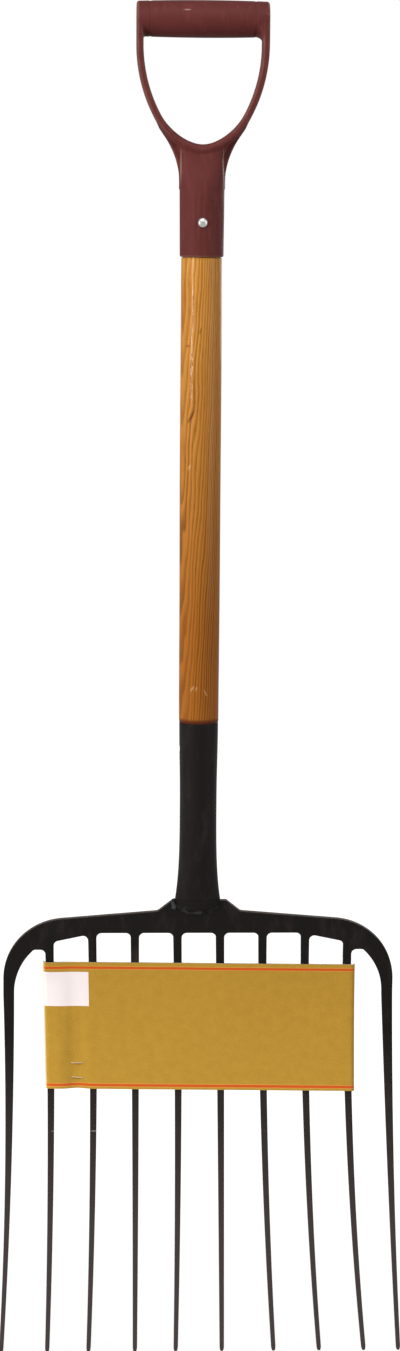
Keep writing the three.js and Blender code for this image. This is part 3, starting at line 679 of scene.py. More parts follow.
# Painted sheen: warmer and greyer lower down the tines, where they curve up towards the light.
black = tinted(enamel, black, "#3a3231", height, -0.96, -1.15)
for band_x in (-138.6, -100.4):
    black = marked(enamel, black, "#aaa4a0", metres, (band_x, 0, -1057), (4, 300, 0.7), 0.4)
satin = add(enamel, "MapRange", {"Value": dust, "To Min": 0.46, "To Max": 0.62})
shade(enamel, peel, 0.05, Base_Color=black, Roughness=satin)

rim = [(socket_edge_round * (1 - math.sin(a)), socket_edge_round * (1 - math.cos(a)))
       for a in (1.2, 0.6)]
heights = np.linspace(
    socket_mouth - socket_edge_round, socket_end + socket_edge_round, socket_rings)
outside = [
    *[(socket_mouth - drop, inset) for drop, inset in rim], *[(height, 0) for height in heights],
    *[(socket_end + rise, inset) for rise, inset in rim[::-1]]]
inside = [(height, socket_wall - inset) for height, inset in outside[::-1]]
rings = [socket_ring(height, inset) for height, inset in outside + inside]
vertices = np.concatenate(rings)
faces = np.array(loft([*rings, rings[0]])[1][:-2]) % len(vertices)
socket = as_piece(mesh_of("steel_socket", vertices, faces), [enamel], "socket")

drill_shape = bmesh.new()
bmesh.ops.create_cone(
    drill_shape, cap_ends=True, segments=screw_hole_sides, radius1=screw_hole_radius * MM,
    radius2=screw_hole_radius * MM, depth=socket_mouth_radius * MM,
    matrix=Matrix.Translation((-socket_mouth_radius * MM, 0, (socket_mouth - screw_drop) * MM))
    @ Matrix.Rotation(math.pi / 2, 4, "Y"))
drill = placed("drill", bpy.data.meshes.new("drill"))
drill_shape.to_mesh(drill.data)
drill_shape.free()
cut = socket.modifiers.new("hole", "BOOLEAN")
cut.operation = "DIFFERENCE"
cut.object = drill
cut.solver = "EXACT"
bpy.context.view_layer.update()
evaluated = socket.evaluated_get(bpy.context.evaluated_depsgraph_get())
drilled = bpy.data.meshes.new_from_object(evaluated)
socket.modifiers.clear()
socket.data = drilled
drilled.set_sharp_from_angle(angle=math.radians(35))
bpy.data.objects.remove(drill)


# Screw. A short zinc-plated wood screw with a domed head and a cross recess. It holds the shaft in
# the tube: its head lies in the hole in the tube's left wall, on the wood.
screw_head_radius = 3.1
screw_head_height = 1.4
screw_sunk = 0.5
screw_shank_radius = 2
screw_length = 22
screw_tip_length = 4
screw_tip_share = 0.3
recess_half_width = 0.55
recess_half_length = 1.9
recess_depth = 1.2
recess_width_slope = 0.25
recess_length_slope = 0.9
screw_cell = 0.22
screw_height = socket_mouth - screw_drop
screw_seat = float(socket_half(screw_drop / socket_length, socket_end_half_width, flare_power))
screw_seat -= socket_wall + screw_sunk


def screw_field(x, y, z):
    """The distance from the screw's surface: the head is out from its seat, and the shank in."""
    out = -x - screw_seat
    around = np.hypot(y, z - screw_height)
    cap = (screw_head_radius ** 2 + screw_head_height ** 2) / (2 * screw_head_height)
    head = np.maximum(np.hypot(around, out - screw_head_height + cap) - cap, -out)
    tip = np.clip((out + screw_length) / screw_tip_length, 0, 1)
    shank = around - screw_shank_radius * between(screw_tip_share, 1, tip)
    shank = np.maximum(shank, np.maximum(out, -screw_length - out))
    above_top = out - screw_head_height
    narrow = recess_half_width + recess_width_slope * above_top
    long = recess_half_length + recess_length_slope * above_top
    across, along = np.abs(y), np.abs(z - screw_height)
    upright = np.maximum(across - narrow, along - long)
    level = np.maximum(across - long, along - narrow)
    recess = np.maximum(np.minimum(upright, level), -recess_depth - above_top)
    return np.maximum(np.minimum(head, shank), -recess)


lowest = np.array([
    -screw_seat - screw_head_height, -screw_head_radius, screw_height - screw_head_radius]) - 1
highest = np.array([
    screw_length - screw_seat, screw_head_radius, screw_height + screw_head_radius]) + 1
screw = mesh_of("socket_screw_steel", *skin(screw_field, lowest, highest, screw_cell), 35)
as_piece(screw, [zinc], "socket_screw")


# Head. One comb cut by laser from 6 mm spring steel: a bar with a boss for the tube, and ten tines.
# The tines are ground thinner towards their points, pressed to one curve and sprayed black.
plate_thickness = 6
plate_edge_round = 0.7
tip_edge_share = 0.4
tip_points = 9
head_tilt = math.radians(8)
head_offset = 1.6
head_corner_radius = 62
boss_top_half_width = 26.4
boss_foot_half_width = 40.3
boss_height = 11.3
boss_top_round = 1.5
boss_foot_round = 6
bar_top_slope = math.radians(4.8)
bar_depth = 33.5
slant_top = 35.2
slant_foot = 42.4
slot_top = 50.7
slot_width = 30.5
slot_flat = 11.3
slot_corner_round = 3
slot_curve_share = 0.9153
root_fillet = 5
root_stub = 1.5
tine_pitch = 41.6
tine_end = 447.5
tine_bend_start = 46
tine_turn = math.radians(41.2)
tine_root_width = 8.2
tine_tip_width = 4.2
tine_tip_thickness = 3.4
tine_tip_length = 5
tine_tip_share = 0.3
outer_tine_width = 10.6
outer_tine_start = 97.0
outer_taper_power = 1.7
tip_stray_shares = [-0.156, -0.046, -0.087, -0.007, -0.058, 0.017, 0.224, 0.286, 0.329, 0.178]
bow_shares = [0.066, 0.054, 0.072, 0.031, 0.065, 0.041, -0.029, -0.048, -0.054, 0.022]
level_step = 5
arc_error = 0.02

boss_top = socket_end - shaft_fit - plate_thickness / 2 * math.sin(head_tilt)
bend_radius = (tine_end - tine_bend_start) / tine_turn
tine_count = len(tip_stray_shares)
last_tine = tine_count - 1
tine_roots = [(i - last_tine / 2) * tine_pitch for i in range(tine_count)]
slot_inside = tine_roots[-2] + tine_root_width / 2
slot_outside = slot_inside + slot_width
head_half_width = slot_outside + outer_tine_width
tine_roots[0] = outer_tine_width / 2 - head_half_width
tine_roots[-1] = head_half_width - outer_tine_width / 2
slot_run = slot_width - slot_flat
slot_elbow = slot_top + slot_run
slot_curve_radius = slot_curve_share * math.hypot(slot_run, slot_run) / math.tan(math.pi / 8)


def on_plate(x, drop, forward):
    """World places, in millimetres, of places across, down and out from the plate's middle."""
    x, drop, forward = np.broadcast_arrays(x, drop, forward)
    angle = np.maximum(drop - tine_bend_start, 0) / bend_radius
    reach = bend_radius - forward
    y = reach * np.cos(angle) - bend_radius
    z = -np.minimum(drop, tine_bend_start) - reach * np.sin(angle)
    return np.stack([
        x + head_offset, y * math.cos(head_tilt) - z * math.sin(head_tilt),
        y * math.sin(head_tilt) + z * math.cos(head_tilt) + boss_top], -1)


def tine_foot(i):
    """How far down the plate a tine begins to taper."""
    if i in (0, last_tine):
        return outer_tine_start
    return (slot_top if i in (1, last_tine - 1) else bar_depth) + root_fillet + root_stub


def tine_path(i):
    """A tine's outline as x, drop and half thickness: down its right side and up its left."""
    foot, tip_start = tine_foot(i), tine_end - tine_tip_length
    levels = np.arange(tine_bend_start, tip_start - level_step / 2, level_step)
    tip_levels = tip_start + tine_tip_length * np.sin(np.linspace(0, math.pi / 2, tip_points))
    drops = np.concatenate([[foot], levels[levels > foot + 1], tip_levels])
    share = (drops - foot) / (tine_end - foot)
    in_tip = np.clip((drops - tip_start) / tine_tip_length, 0, 1)
    blunt = between(tine_tip_share, 1, np.sqrt(1 - in_tip ** 2)) / 2
    root_width, power = (
        (outer_tine_width, outer_taper_power) if i in (0, last_tine) else (tine_root_width, 1))
    width = blunt * between(tine_tip_width, root_width, (1 - share) ** power)
    thickness = blunt * between(plate_thickness, tine_tip_thickness, share)
    stray = tip_stray_shares[i] * share + bow_shares[i] * 4 * share * (1 - share)
    middle = tine_roots[i] + tine_pitch * stray
    right, left = [np.stack([middle + side * width, drops, thickness], 1) for side in (1, -1)]
    return np.concatenate([right, left[::-1]])


def rounded(corners):
    """Points along an open path of x, drop and radius corners, each rounded by its radius."""
    places, radii = np.array(corners, float)[:, :2], [corner[2] for corner in corners]
    points = [places[0]]
    for before, here, after, radius in zip(places, places[1:], places[2:], radii[1:]):
        if not radius:
            points.append(here)
            continue
        came, ahead = [(end - here) / np.linalg.norm(end - here) for end in (before, after)]
        half_angle = math.acos(np.clip(came @ ahead, -1, 1)) / 2
        to_centre = (came + ahead) / np.linalg.norm(came + ahead)
        centre = here + to_centre * radius / math.sin(half_angle)
        x, y = here + came * radius / math.tan(half_angle) - centre
        turn = math.copysign(math.pi - 2 * half_angle, came[1] * ahead[0] - came[0] * ahead[1])
        count = max(3, math.ceil(abs(turn) / (2 * math.acos(1 - arc_error / radius))))
        for a in np.linspace(0, turn, count + 1):
            points.append(centre + [
                x * math.cos(a) - y * math.sin(a), x * math.sin(a) + y * math.cos(a)])
    return [*points, places[-1]]


def gap_tops(i):
    """Where the gaps to the right and to the left of a tine begin."""
    from_side = min(i, last_tine - i)
    outward = {1: slot_top, 2: slant_top}.get(from_side, bar_depth)
    inward = slant_foot if from_side == 1 else bar_depth
    return (outward, inward) if i > last_tine / 2 else (inward, outward)


def plate_outline():
    """The comb's outline, clockwise seen from the front, as x, drop and half thickness."""
    fall = (head_half_width - boss_foot_half_width) * math.tan(bar_top_slope)
    shoulder_corners = [
        (head_half_width, boss_height + fall, head_corner_radius),
        (boss_foot_half_width, boss_height, boss_foot_round),
        (boss_top_half_width, 0, boss_top_round)]
    slot_corners = [
        (slot_outside, outer_tine_start, 0), (slot_outside, slot_elbow, slot_curve_radius),
        (slot_inside + slot_flat, slot_top, slot_corner_round)]
    left_shoulder, left_slot = [
        [(-x, drop, r) for x, drop, r in part] for part in (shoulder_corners, slot_corners)]
    half = tine_root_width / 2
    path = []
    stretch = [(0, 0, 0), *shoulder_corners[::-1], (head_half_width, outer_tine_start, 0)]
    for i in range(last_tine, -1, -1):
        path += [(*point, plate_thickness / 2) for point in rounded(stretch)[:-1]]
        path += tine_path(i).tolist()
        if i == 0:
            break
        left, right = tine_roots[i] - half, tine_roots[i - 1] + half
        stretch = [
            (left, tine_foot(i), 0), (left, gap_tops(i)[1], root_fillet),
            (right, gap_tops(i - 1)[0], root_fillet), (right, tine_foot(i - 1), 0)]
        if i == last_tine:
            stretch = [*slot_corners, *stretch[2:]]
        if i == 1:
            stretch = [*stretch[:2], *left_slot[::-1]]
    stretch = [(-head_half_width, outer_tine_start, 0), *left_shoulder, (0, 0, 0)]
    path += [(*point, plate_thickness / 2) for point in rounded(stretch)[1:-1]]
    return np.array(path)


def plate_mesh():
    """The comb's mesh: flat faces in front and behind, and an edge all the way round, rounded to
    both. Between the roundings the edge has the second material."""
    outline = plate_outline()
    outline = outline[np.linalg.norm((np.roll(outline, -1, 0) - outline)[:, :2], axis=1) > 1e-3]
    count = len(outline)
    ahead = (np.roll(outline, -1, 0) - outline)[:, :2]
    ahead /= np.linalg.norm(ahead, axis=1)[:, None]
    along = ahead + np.roll(ahead, 1, 0)
    along /= np.linalg.norm(along, axis=1)[:, None]
    inward = np.stack([-along[:, 1], along[:, 0]], 1)
    in_tip = eased(outline[:, 1], tine_end - tine_tip_length, tine_end)
    edge = plate_edge_round * between(1, tip_edge_share, in_tip)
    angles = np.radians((90, 60, 30, 0))
    rings = []
    for side, a in [*[(-1, a) for a in angles], *[(1, a) for a in angles[::-1]]]:
        level = side * (outline[:, 2] - edge * (1 - math.sin(a)))
        flat = outline[:, :2] + inward * edge[:, None] * (1 - math.cos(a))
        rings.append(np.column_stack([flat, level]))
    mesh = mesh_of("steel_head", *loft(rings))
    for polygon in mesh.polygons:
        polygon.material_index = int(polygon.index // count == len(angles) - 1)
    shape = bmesh.new()
    shape.from_mesh(mesh)
    for level in np.arange(tine_bend_start, tine_end, level_step):
        bmesh.ops.bisect_plane(
            shape, geom=[*shape.verts, *shape.edges, *shape.faces], dist=1e-4,
            plane_co=(0, level, 0), plane_no=(0, 1, 0))
    shape.to_mesh(mesh)
    shape.free()
    places = np.empty(3 * len(mesh.vertices))
    mesh.vertices.foreach_get("co", places)
    mesh.vertices.foreach_set("co", on_plate(*places.reshape(-1, 3).T).ravel())
    mesh.flip_normals()
    return mesh


# The laser leaves fine striations across the cut, 0.5 mm apart and drawn at 0.8 mm, where the paint
# is thin and duller than on the faces. The edge is paler and browner: partly the thin paint, partly
# a painted highlight for the top edge, which faces the light.
cut_edge = new_material("enamel_on_laser_cut_edge", IOR=1.5, Roughness=0.7, Specular_IOR_Level=0.2)
metres = add(cut_edge, "TexCoord").outputs["Object"]
striation = streaks(cut_edge, metres, (1, 0.08, 1), 0.8, 2.0)
thin_paint_and_highlight = add(cut_edge, "TexNoise", {"Vector": metres, "Scale": 1 / (11 * MM), "Detail": 4.0})
# Paler and browner than the faces: partly thin paint, partly a painted highlight.
brown = add(cut_edge, "MixRGB", {"Fac": thin_paint_and_highlight, "Color1": "#1d1917", "Color2": "#4a413b"})
brown = tinted(cut_edge, brown, "#5c5149", striation, 0.3, 0.8, 0.5)
shade(cut_edge, striation, 0.04, Base_Color=brown)

steel_head = as_piece(plate_mesh(), [enamel, cut_edge], "head_plate")
steel_head.modifiers.new("flat_faces", "WEIGHTED_NORMAL")


# Welds. Two passes of arc weld join the tube's foot to the plate, in front and behind, and a third
# lies in the corner at its left side. They are sprayed over with the head.
weld_drop = 14.5
weld_end_inset = 1.7
weld_end_share = 0.35
weld_proud = 0.9
weld_under_edge = 0.4
weld_toe_waver = 0.5
weld_toe_wave = 1.9
weld_lap = 0.3
weld_climb = 1.3
weld_sunk = 0.1
weld_ripple = 0.55
weld_ripple_swell = 1.6
weld_ripple_bow = 2.2
weld_ripple_length = 4.3
side_weld_radius = 2.6
side_weld_start = 1.3
side_weld_foot = 7.5
side_weld_levels = (-0.8, 0.6)
side_weld_waver = 0.3
side_weld_wave = 1.3
side_weld_rings = 60
side_weld_sides = 20
weld_columns = 150
weld_rows = 22

# Enamel over the ripples, which catch the light, with bits of slag. Spots of 5 to 10 mm, low on the
# front and back beads and on the whole left one, are painted highlights: paler blue-grey and
# glossier.
bead_paint = new_material("enamel_over_weld_bead", IOR=1.5, Specular_IOR_Level=0.15)
metres = add(bead_paint, "TexCoord").outputs["Object"]
slag = streaks(bead_paint, metres, (0.4, 0.8, 0.8), 4, 2.0)
# Painted highlights: glossy blue-grey spots, low on the beads and all over the left one.
painted_highlight_spots = add(bead_paint, "MapRange", {"Value": slag, "From Min": 0.47, "From Max": 0.75})
split = add(bead_paint, "SeparateXYZ", {0: metres})
at_foot = add(bead_paint, "MapRange", {
    "Value": split.outputs["Z"], "From Min": (socket_end - 5) * MM,
    "From Max": (socket_end - 9) * MM})
at_left = add(bead_paint, "Math", {
    0: split.outputs["X"], 1: -(socket_end_half_width - 1) * MM}, operation="LESS_THAN")
where = add(bead_paint, "Math", {0: at_foot, 1: at_left}, operation="MAXIMUM")
painted_highlight_spots = add(bead_paint, "Math", {0: painted_highlight_spots, 1: where}, operation="MULTIPLY")
bead_colour = add(bead_paint, "MixRGB", {
    "Fac": painted_highlight_spots, "Color1": "#161312", "Color2": "#4b4c50"})
bead_gloss = add(bead_paint, "MapRange", {"Value": painted_highlight_spots, "To Min": 0.55, "To Max": 0.35})
shade(bead_paint, slag, 0.25, Base_Color=bead_colour, Roughness=bead_gloss)

ripple_heights = 0.55 + 0.9 * np.random.default_rng(7).random(40)


def ripples(place):
    """Overlapping crescents along a weld, each a little higher or lower than the last."""
    count = place / weld_ripple_length + len(ripple_heights) / 2
    which = np.floor(count).astype(int)
    crescent = np.sqrt(np.clip(1 - (2 * (count - which) - 1) ** 2, 0, 1))
    return ripple_heights[which % len(ripple_heights)] * crescent


def face_weld(side):
    """The weld between the tube's foot and the plate, in front (side 1) or behind (side -1)."""
    v = np.linspace(0, 1, weld_rows)
    under = socket_end - shaft_fit
    level = side * (plate_thickness / 2 - weld_sunk)
    seat = on_plate(0, 0, level)[1:]
    inner = [seat[0] + (seat[1] - under) * math.tan(head_tilt), under]
    rings = []
    for share in np.linspace(-1, 1, weld_columns):
        x = share * (socket_end_half_width - weld_end_inset)
        ripple = weld_ripple * ripples(x + weld_ripple_bow * (2 * v - 1) ** 2 + side * 1.3)
        oval = socket_end_half_depth * math.sqrt(1 - (x / socket_end_half_width) ** 2)
        fade = 1 - share ** 4
        drop = weld_drop * between(weld_end_share, 1, math.sqrt(1 - share ** 2))
        toe_waver = weld_toe_waver * math.sin(x / weld_toe_wave) * fade
        toe = on_plate(0, drop + toe_waver, level)[1:]
        under_lip = [-side * (oval - weld_under_edge), under]
        lip = np.array([-side * (oval + weld_lap), under + weld_climb])
        swell = fade * (weld_proud + weld_ripple_swell * ripple * v) * np.sin(math.pi * v)
        face = between(lip, toe, v[:, None]) + np.array([-side, -0.5]) * swell[:, None]
        ring = np.concatenate([[inner, under_lip], face])
        rings.append(np.column_stack([np.full(len(ring), x), ring]))
    return loft(rings)


def rod_along(path, radius, sides):
    """Vertices and faces of a round rod along a path of points, with one radius or one at each."""
    along = np.gradient(path, axis=0)
    across = np.cross(along, [0.05, 0.1, 1.0])
    across /= np.linalg.norm(across, axis=1)[:, None]
    over = np.cross(along, across)
    over /= np.linalg.norm(over, axis=1)[:, None]
    angle = np.arange(sides) * math.tau / sides
    return loft([p + r * (np.outer(np.cos(angle), a) + np.outer(np.sin(angle), o))
                 for p, a, o, r in zip(path, across, over, np.broadcast_to(radius, len(path)))])


def left_weld():
    """The weld at the tube's left side, across the top of the plate and down its front."""
    t = np.linspace(0, 1, side_weld_rings)
    drop = side_weld_start + side_weld_foot * eased(t, 0.35, 1)
    forward = plate_thickness / 2 * between(*side_weld_levels, eased(t, 0, 0.5))
    run = t * (plate_thickness + side_weld_foot)
    radius = side_weld_radius * between(0.88, 1, ripples(run))
    radius *= np.sqrt(np.clip(1.02 - (2 * t - 1) ** 6, 0.05, 1))
    x = side_weld_waver * np.sin(run / side_weld_wave) - weld_sunk
    x -= socket_end_half_width + side_weld_radius
    return rod_along(on_plate(x, drop, forward), radius, side_weld_sides)


for name, node, shape in (
        ("weld_bead_front", "weld_front", face_weld(1)),
        ("weld_bead_back", "weld_back", face_weld(-1)),
        ("weld_bead_left", "weld_left", left_weld())):
    as_piece(mesh_of(name, *shape, 60), [bead_paint], node)


# Card sleeve. One strip of 0.5 mm board, printed on its outside, folded round all but the two outer
# tines and lapped behind. The staples pinch it in between two tines, and it bulges beside them.
card_thickness = 0.5
card_play = 0.5
card_lap_gap = 0.3
card_left_play = 2.7
card_right_play = 3.9
card_top = 64.5
card_height = 128
card_tilt = math.radians(0.7)
card_left_drift = 3
card_right_drift = 0.8
card_flap_end_share = 0.856
card_lap_end_share = 0.279
card_step = 2.5
card_flap_points = 14
card_fold_points = 17
pinch_place = -121
pinch_width = 9
pinch_depth = 1.5
pinch_share_at_top = 0.2
bulge = 1.7
pinch_bow = 0.7
curl_reach = 26
curl_drop = 22
curl_rise = 1.6
card_waver = 0.22
card_waves = ((1, 29, 41), (0.5, 13, -23))  # height, and mm across and down for each radian
back_trim = 2.4

front_level = plate_thickness / 2 + card_play + card_thickness / 2
lap_level = front_level + card_thickness + card_lap_gap
card_left = -slot_inside - card_left_play
card_right = slot_inside + card_right_play
left_fold = card_left + front_level + card_thickness / 2
right_radius = (front_level + lap_level) / 2
right_fold = card_right - right_radius - card_thickness / 2
flap_end = between(tine_roots[1], tine_roots[2], card_flap_end_share)
lap_end = between(tine_roots[1], tine_roots[2], card_lap_end_share)


def card_path():
    """The board's way round: x, forward, and the direction it faces, from the flap to the lap."""
    flap_x = np.linspace(flap_end, left_fold, card_flap_points)[:-1]
    turn = np.linspace(-math.pi / 2, -math.pi * 3 / 2, card_fold_points)
    front_x = np.linspace(left_fold, right_fold, round((right_fold - left_fold) / card_step))[1:-1]
    back = np.linspace(math.pi / 2, -math.pi / 2, card_fold_points)
    lap_x = np.linspace(right_fold, lap_end, round((right_fold - lap_end) / card_step))[1:]
    return np.concatenate([np.stack(np.broadcast_arrays(*leg)) for leg in (
        (flap_x, -front_level, -math.pi / 2),
        (left_fold + front_level * np.cos(turn), front_level * np.sin(turn), turn),
        (front_x, front_level, math.pi / 2),
        (right_fold + right_radius * np.cos(back),
         front_level - right_radius + right_radius * np.sin(back), back),
        (lap_x, -lap_level, -math.pi / 2))], 1)


def at_pinch(x):
    """1 where the staples pinch the card, and less the further to either side."""
    return np.exp(-((x - pinch_place) / pinch_width) ** 2)


def card_relief(x, down, in_front):
    """How far the board stands out from its flat shape, nearly all of it in front."""
    share = down / card_height
    to_pinch = np.clip((x - card_left) / (pinch_place - pinch_width / 2 - card_left), 0, 1)
    pinch = bulge * np.sin(math.pi * to_pinch) - pinch_depth * at_pinch(x)
    pinch *= between(pinch_share_at_top, 1, share)
    curl = curl_rise * eased(x, card_left + curl_reach, card_left) * eased(down, curl_drop, 0)
    waver = card_waver * sum(
        height * np.sin(x / across + down / along) for height, across, along in card_waves)
    return in_front * (pinch + curl + waver)


def on_card(x, forward, down):
    """World places on the card, which hangs a little askew and is cut lower behind."""
    down = down + back_trim * eased(-forward, 0, front_level) * (1 - down / card_height)
    share = down / card_height
    drift = share * between(
        card_left_drift, card_right_drift, (x - card_left) / (card_right - card_left))
    bow = pinch_bow * at_pinch(x) * share ** 8
    return on_plate(x + drift, card_top + down - bow + x * math.tan(card_tilt), forward)


def card_mesh():
    """The board as a mesh, with its print laid on it in metres across and down."""
    x, forward, facing = card_path()
    downs = np.linspace(0, card_height, round(card_height / card_step) + 1)
    in_front = eased(np.sin(facing), 0, 1)
    vertices, prints = [], []
    for side in (0.5, -0.5):
        for down in downs:
            out = forward + card_relief(x, down, in_front) + side * card_thickness * np.sin(facing)
            vertices.append(on_card(x + side * card_thickness * np.cos(facing), out, down))
            prints.append(np.stack(np.broadcast_arrays(x, down), 1) * MM)
    grid = np.arange(2 * len(downs) * len(x)).reshape(2, len(downs), len(x))
    faces, kinds = [], []
    for side, g in enumerate(grid):
        faces.append(np.stack([g[:-1, :-1], g[1:, :-1], g[1:, 1:], g[:-1, 1:]], -1).reshape(-1, 4))
        kinds += [side] * len(faces[-1])
    outer, inner = np.concatenate(
        [grid[:, 0, :], grid[:, 1:, -1], grid[:, -1, -2::-1], grid[:, -2:0:-1, 0]], 1)
    faces.append(np.stack([outer, np.roll(outer, -1), np.roll(inner, -1), inner], 1))
    kinds += [1] * len(outer)
    mesh = mesh_of("card_sleeve_board", np.concatenate(vertices), np.concatenate(faces), 40)
    mesh.polygons.foreach_set("material_index", kinds)
    corners = np.empty(len(mesh.loops), int)
    mesh.loops.foreach_get("vertex_index", corners)
    layer = mesh.uv_layers.new(name="print")
    layer.uv.foreach_set("vector", np.concatenate(prints)[corners].ravel())
    return mesh


# Coated board, offset printed in gold with two orange lines and one unprinted panel. The gold has a
# low sheen and is mottled, in blotches of about 9 mm and specks of 1.3 mm. A pale line along the
# left fold is a painted highlight.
line_tops = (4.2, 122.7)
line_width = 2.7
panel_top = 10
panel_foot = 45
panel_right = -108
printed = new_material("gold_printed_card", IOR=1.5, Roughness=0.5, Specular_IOR_Level=0.2)
place = add(printed, "UVMap", uv_map="print")
split = add(printed, "SeparateXYZ", {0: place})
across, down = split.outputs["X"], split.outputs["Y"]
blotch = add(printed, "TexNoise", {
    "Vector": place, "Scale": 1 / (9 * MM), "Detail": 5.0, "Roughness": 0.6})
speck = add(printed, "TexNoise", {"Vector": place, "Scale": 1 / (1.3 * MM), "Detail": 2.0})
gold = add(printed, "MixRGB", {"Fac": blotch, "Color1": "#ba8f34", "Color2": "#a27924"})
gold = tinted(printed, gold, "#cca44a", speck, 0.5, 0.8, 0.45)
half = line_width / 2 * MM
for line_top in line_tops:
    off_line = add(printed, "Math", {0: down, 1: line_top * MM + half}, operation="SUBTRACT")
    off_line = add(printed, "Math", {0: off_line}, operation="ABSOLUTE")
    gold = tinted(printed, gold, "#d29b40", off_line, half * 1.6, half)
    gold = tinted(printed, gold, "#c8521d", off_line, half * 1.1, half * 0.8)
facing = add(printed, "SeparateXYZ", {0: add(printed, "NewGeometry").outputs["Normal"]})
panel = add(printed, "Math", {0: facing.outputs["Y"], 1: 0.3}, operation="LESS_THAN")
for value, limit, operation in (
        (across, panel_right, "LESS_THAN"), (down, panel_top, "GREATER_THAN"),
        (down, panel_foot, "LESS_THAN")):
    within = add(printed, "Math", {0: value, 1: limit * MM}, operation=operation)
    panel = add(printed, "Math", {0: panel, 1: within}, operation="MULTIPLY")
ink = add(printed, "MixRGB", {"Fac": panel, "Color1": gold, "Color2": "#efe3e2"})
# Painted highlight: a pale line along the left fold.
off_fold = add(printed, "Math", {0: across, 1: (card_left + 0.8) * MM}, operation="SUBTRACT")
off_fold = add(printed, "Math", {0: off_fold}, operation="ABSOLUTE")
ink = tinted(printed, ink, "#e6d3a4", off_fold, 0.9 * MM, 0.2 * MM, 0.7)
shade(printed, blotch, 0.12, Base_Color=ink)

# Grey recycled board with short fibres, as it shows inside and along the cut edges.
board = new_material("grey_recycled_board", IOR=1.5, Roughness=0.9, Specular_IOR_Level=0.2)
metres = add(board, "TexCoord").outputs["Object"]
pulp = add(board, "TexNoise", {"Vector": metres, "Scale": 1 / (1.2 * MM), "Detail": 4.0})
pulp_colour = add(board, "MixRGB", {"Fac": pulp, "Color1": "#a39a8b", "Color2": "#cfc5b2"})
shade(board, pulp, 0.06, Base_Color=pulp_colour)

as_piece(card_mesh(), [printed, board], "card_sleeve")


# Staples. Two wire staples, zinc over steel, driven through both layers of the card between two
# tines. Their legs are clinched flat behind.
staple_width = 12
staple_wire = 0.9
staple_share = 0.5914
staple_clinch = 3.6
staple_left_skew = 0.5
staple_right_skew = -0.4
staple_corner_points = 6
staple_sides = 16
staple_corner = 0.7
staple_centre = between(tine_roots[1], tine_roots[2], staple_share)

# Thin zinc on drawn wire: dull silver, its colour tinted warm as a painted reflection of the card.
wire = new_material("drawn_staple_wire", Base_Color="#e2cdb4", Metallic=1.0)
metres = add(wire, "TexCoord").outputs["Object"]
scratch = streaks(wire, metres, (0.1, 1, 1), 0.4, 2.0)
scratch_gloss = add(wire, "MapRange", {"Value": scratch, "To Min": 0.28, "To Max": 0.5})
shade(wire, scratch, 0.03, Roughness=scratch_gloss)


def staple_path(drop, tilt):
    """The wire's middle line, from one clinched end across the crown to the other."""
    half = (staple_width - staple_wire) / 2
    left_x, right_x = staple_centre - half, staple_centre + half
    on_front = front_level + card_thickness / 2 + staple_wire / 2
    behind = -lap_level - card_thickness / 2 - staple_wire / 2 - card_lap_gap
    corners = np.array([
        (left_x + staple_clinch, behind, drop + staple_left_skew), (left_x, behind, drop),
        (left_x, on_front + card_relief(left_x, drop, 1), drop - tilt),
        (right_x, on_front + card_relief(right_x, drop, 1), drop + tilt),
        (right_x, behind, drop), (right_x - staple_clinch, behind, drop + staple_right_skew)])
    points = [corners[0]]
    for before, here, after in zip(corners, corners[1:], corners[2:]):
        start, end = [here + staple_corner * (far - here) / np.linalg.norm(far - here)
                      for far in (before, after)]
        for t in np.linspace(0, 1, staple_corner_points):
            points.append((1 - t) ** 2 * start + 2 * t * (1 - t) * here + t ** 2 * end)
    return on_card(*np.array([*points, corners[-1]]).T)


for node, drop, tilt in (("staple_upper", 102.5, 0), ("staple_lower", 117, 0.4)):
    staple = rod_along(staple_path(drop, tilt), staple_wire / 2, staple_sides)
    as_piece(mesh_of(node + "_wire", *staple, 60), [wire], node)


# Studio. A white floor well below the hanging tines, which glows less near the fork as a painted
# shadow. Five soft lamps: a broad one in front to the left, which nothing mirrors, one overhead,
# weak ones to the right and behind, and a small one that the varnish mirrors. The camera sees white
# all round, but polished things mirror a dim room.
floor_gap = 300
floor_half_size = 6000
painted_shadow_glow_near = 0.66
floor_glow_far = 0.95
painted_shadow_reach = (0.3, 2.2)
world_glow = 0.52
room_glow = 0.4
behind_glow = 0.42

white = new_material(
    "white_floor", Base_Color=(0.2, 0.2, 0.2, 1), Roughness=0.9, Emission_Color=(1, 1, 1, 1))
world = bpy.data.worlds.new("studio")
world.use_nodes = True
bpy.context.scene.world = world
add(world, "Background", {"Color": "#ffffff"})
away = add(white, "VectorMath", {
    0: add(white, "TexCoord").outputs["Object"], 1: (1, 1, 0)}, operation="MULTIPLY")
away = add(white, "VectorMath", {0: away}, operation="LENGTH").outputs["Value"]
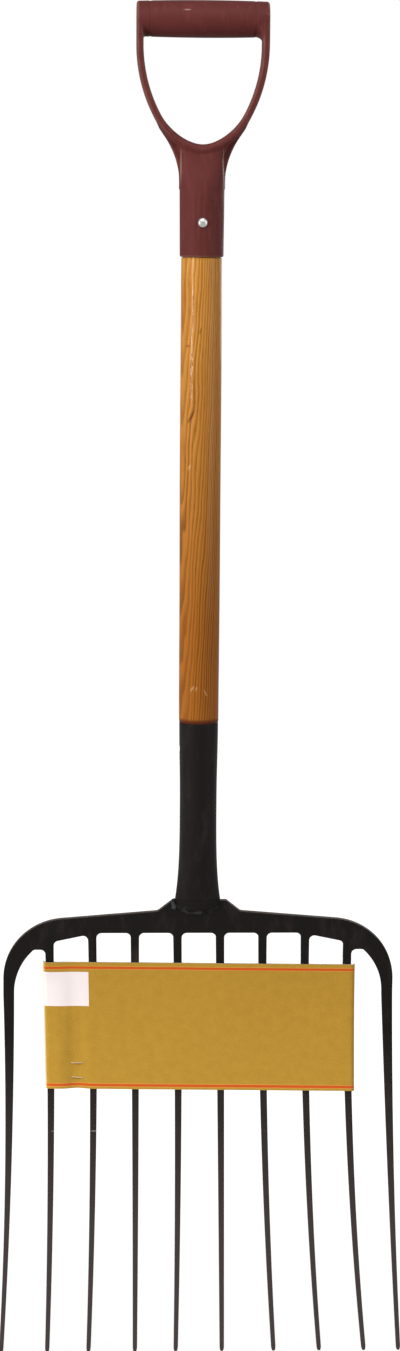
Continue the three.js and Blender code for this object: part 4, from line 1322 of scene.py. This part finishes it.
# Painted shadow: the floor glows less near the fork, so it looks shaded there.
glow_with_painted_shadow = add(white, "MapRange", {
    "Value": away, "From Min": painted_shadow_reach[0], "From Max": painted_shadow_reach[1],
    "To Min": painted_shadow_glow_near, "To Max": floor_glow_far})
for owner, kind, socket, coordinates, plain, to_camera in (
        (white, "Principled BSDF", "Emission Strength", "Object", 0, glow_with_painted_shadow),
        (world, "Background", "Strength", "Generated", world_glow, 1)):
    rays = add(owner, "LightPath").outputs
    seen = add(owner, "Math", {
        0: rays["Is Camera Ray"], 1: rays["Is Transmission Ray"]}, operation="MAXIMUM")
    level = add(owner, "Mix", {0: seen, 2: plain, 3: to_camera})
    behind = add(owner, "SeparateXYZ", {0: add(owner, "TexCoord").outputs[coordinates]})
    mirrored = add(owner, "MapRange", {
        "Value": behind.outputs["Y"], "From Min": -0.3, "From Max": 1.0, "To Min": room_glow,
        "To Max": behind_glow}, interpolation_type="SMOOTHSTEP")
    level = add(owner, "Mix", {0: rays["Is Glossy Ray"], 2: level, 3: mirrored})
    add(owner, kind, {socket: level})

floor_z = cad_box[0].z / MM - floor_gap
floor_mesh = mesh_of("floor", [
    (x * floor_half_size, y * floor_half_size, floor_z)
    for x, y in ((-1, -1), (1, -1), (1, 1), (-1, 1))], [(0, 1, 2, 3)])
floor_mesh.transform(Matrix.Scale(MM, 4))
floor_mesh.materials.append(white)
placed("floor", floor_mesh)

for name, place, aim, size, power in (
        ("varnish_line", (-1.9, -1.35, -0.25), (0, 0, -0.25), (0.1, 0.42), 12),
        ("overhead", (-0.2, -1.4, 1.5), (0, 0, -0.4), (2.2, 1.4), 34),
        ("left", (-2.4, -1.2, 0.0), (0, 0, -0.6), (1.8, 2.4), 68),
        ("right", (2.6, -1.4, 0.1), (0, 0, -0.4), (1.8, 2.0), 26),
        ("behind", (1.4, 2.3, 0.4), (0, 0, -0.6), (1.8, 1.8), 24)):
    lamp = bpy.data.lights.new(name, "AREA")
    lamp.shape = "RECTANGLE"
    lamp.size, lamp.size_y = size
    lamp.energy = power
    lamp_object = placed(name, lamp)
    lamp_object.location = place
    lamp_object.visible_glossy = name != "left"
    lamp_object.rotation_euler = (Vector(aim) - Vector(place)).to_track_quat("-Z", "Y").to_euler()

bpy.context.scene.view_settings.view_transform = "Standard"
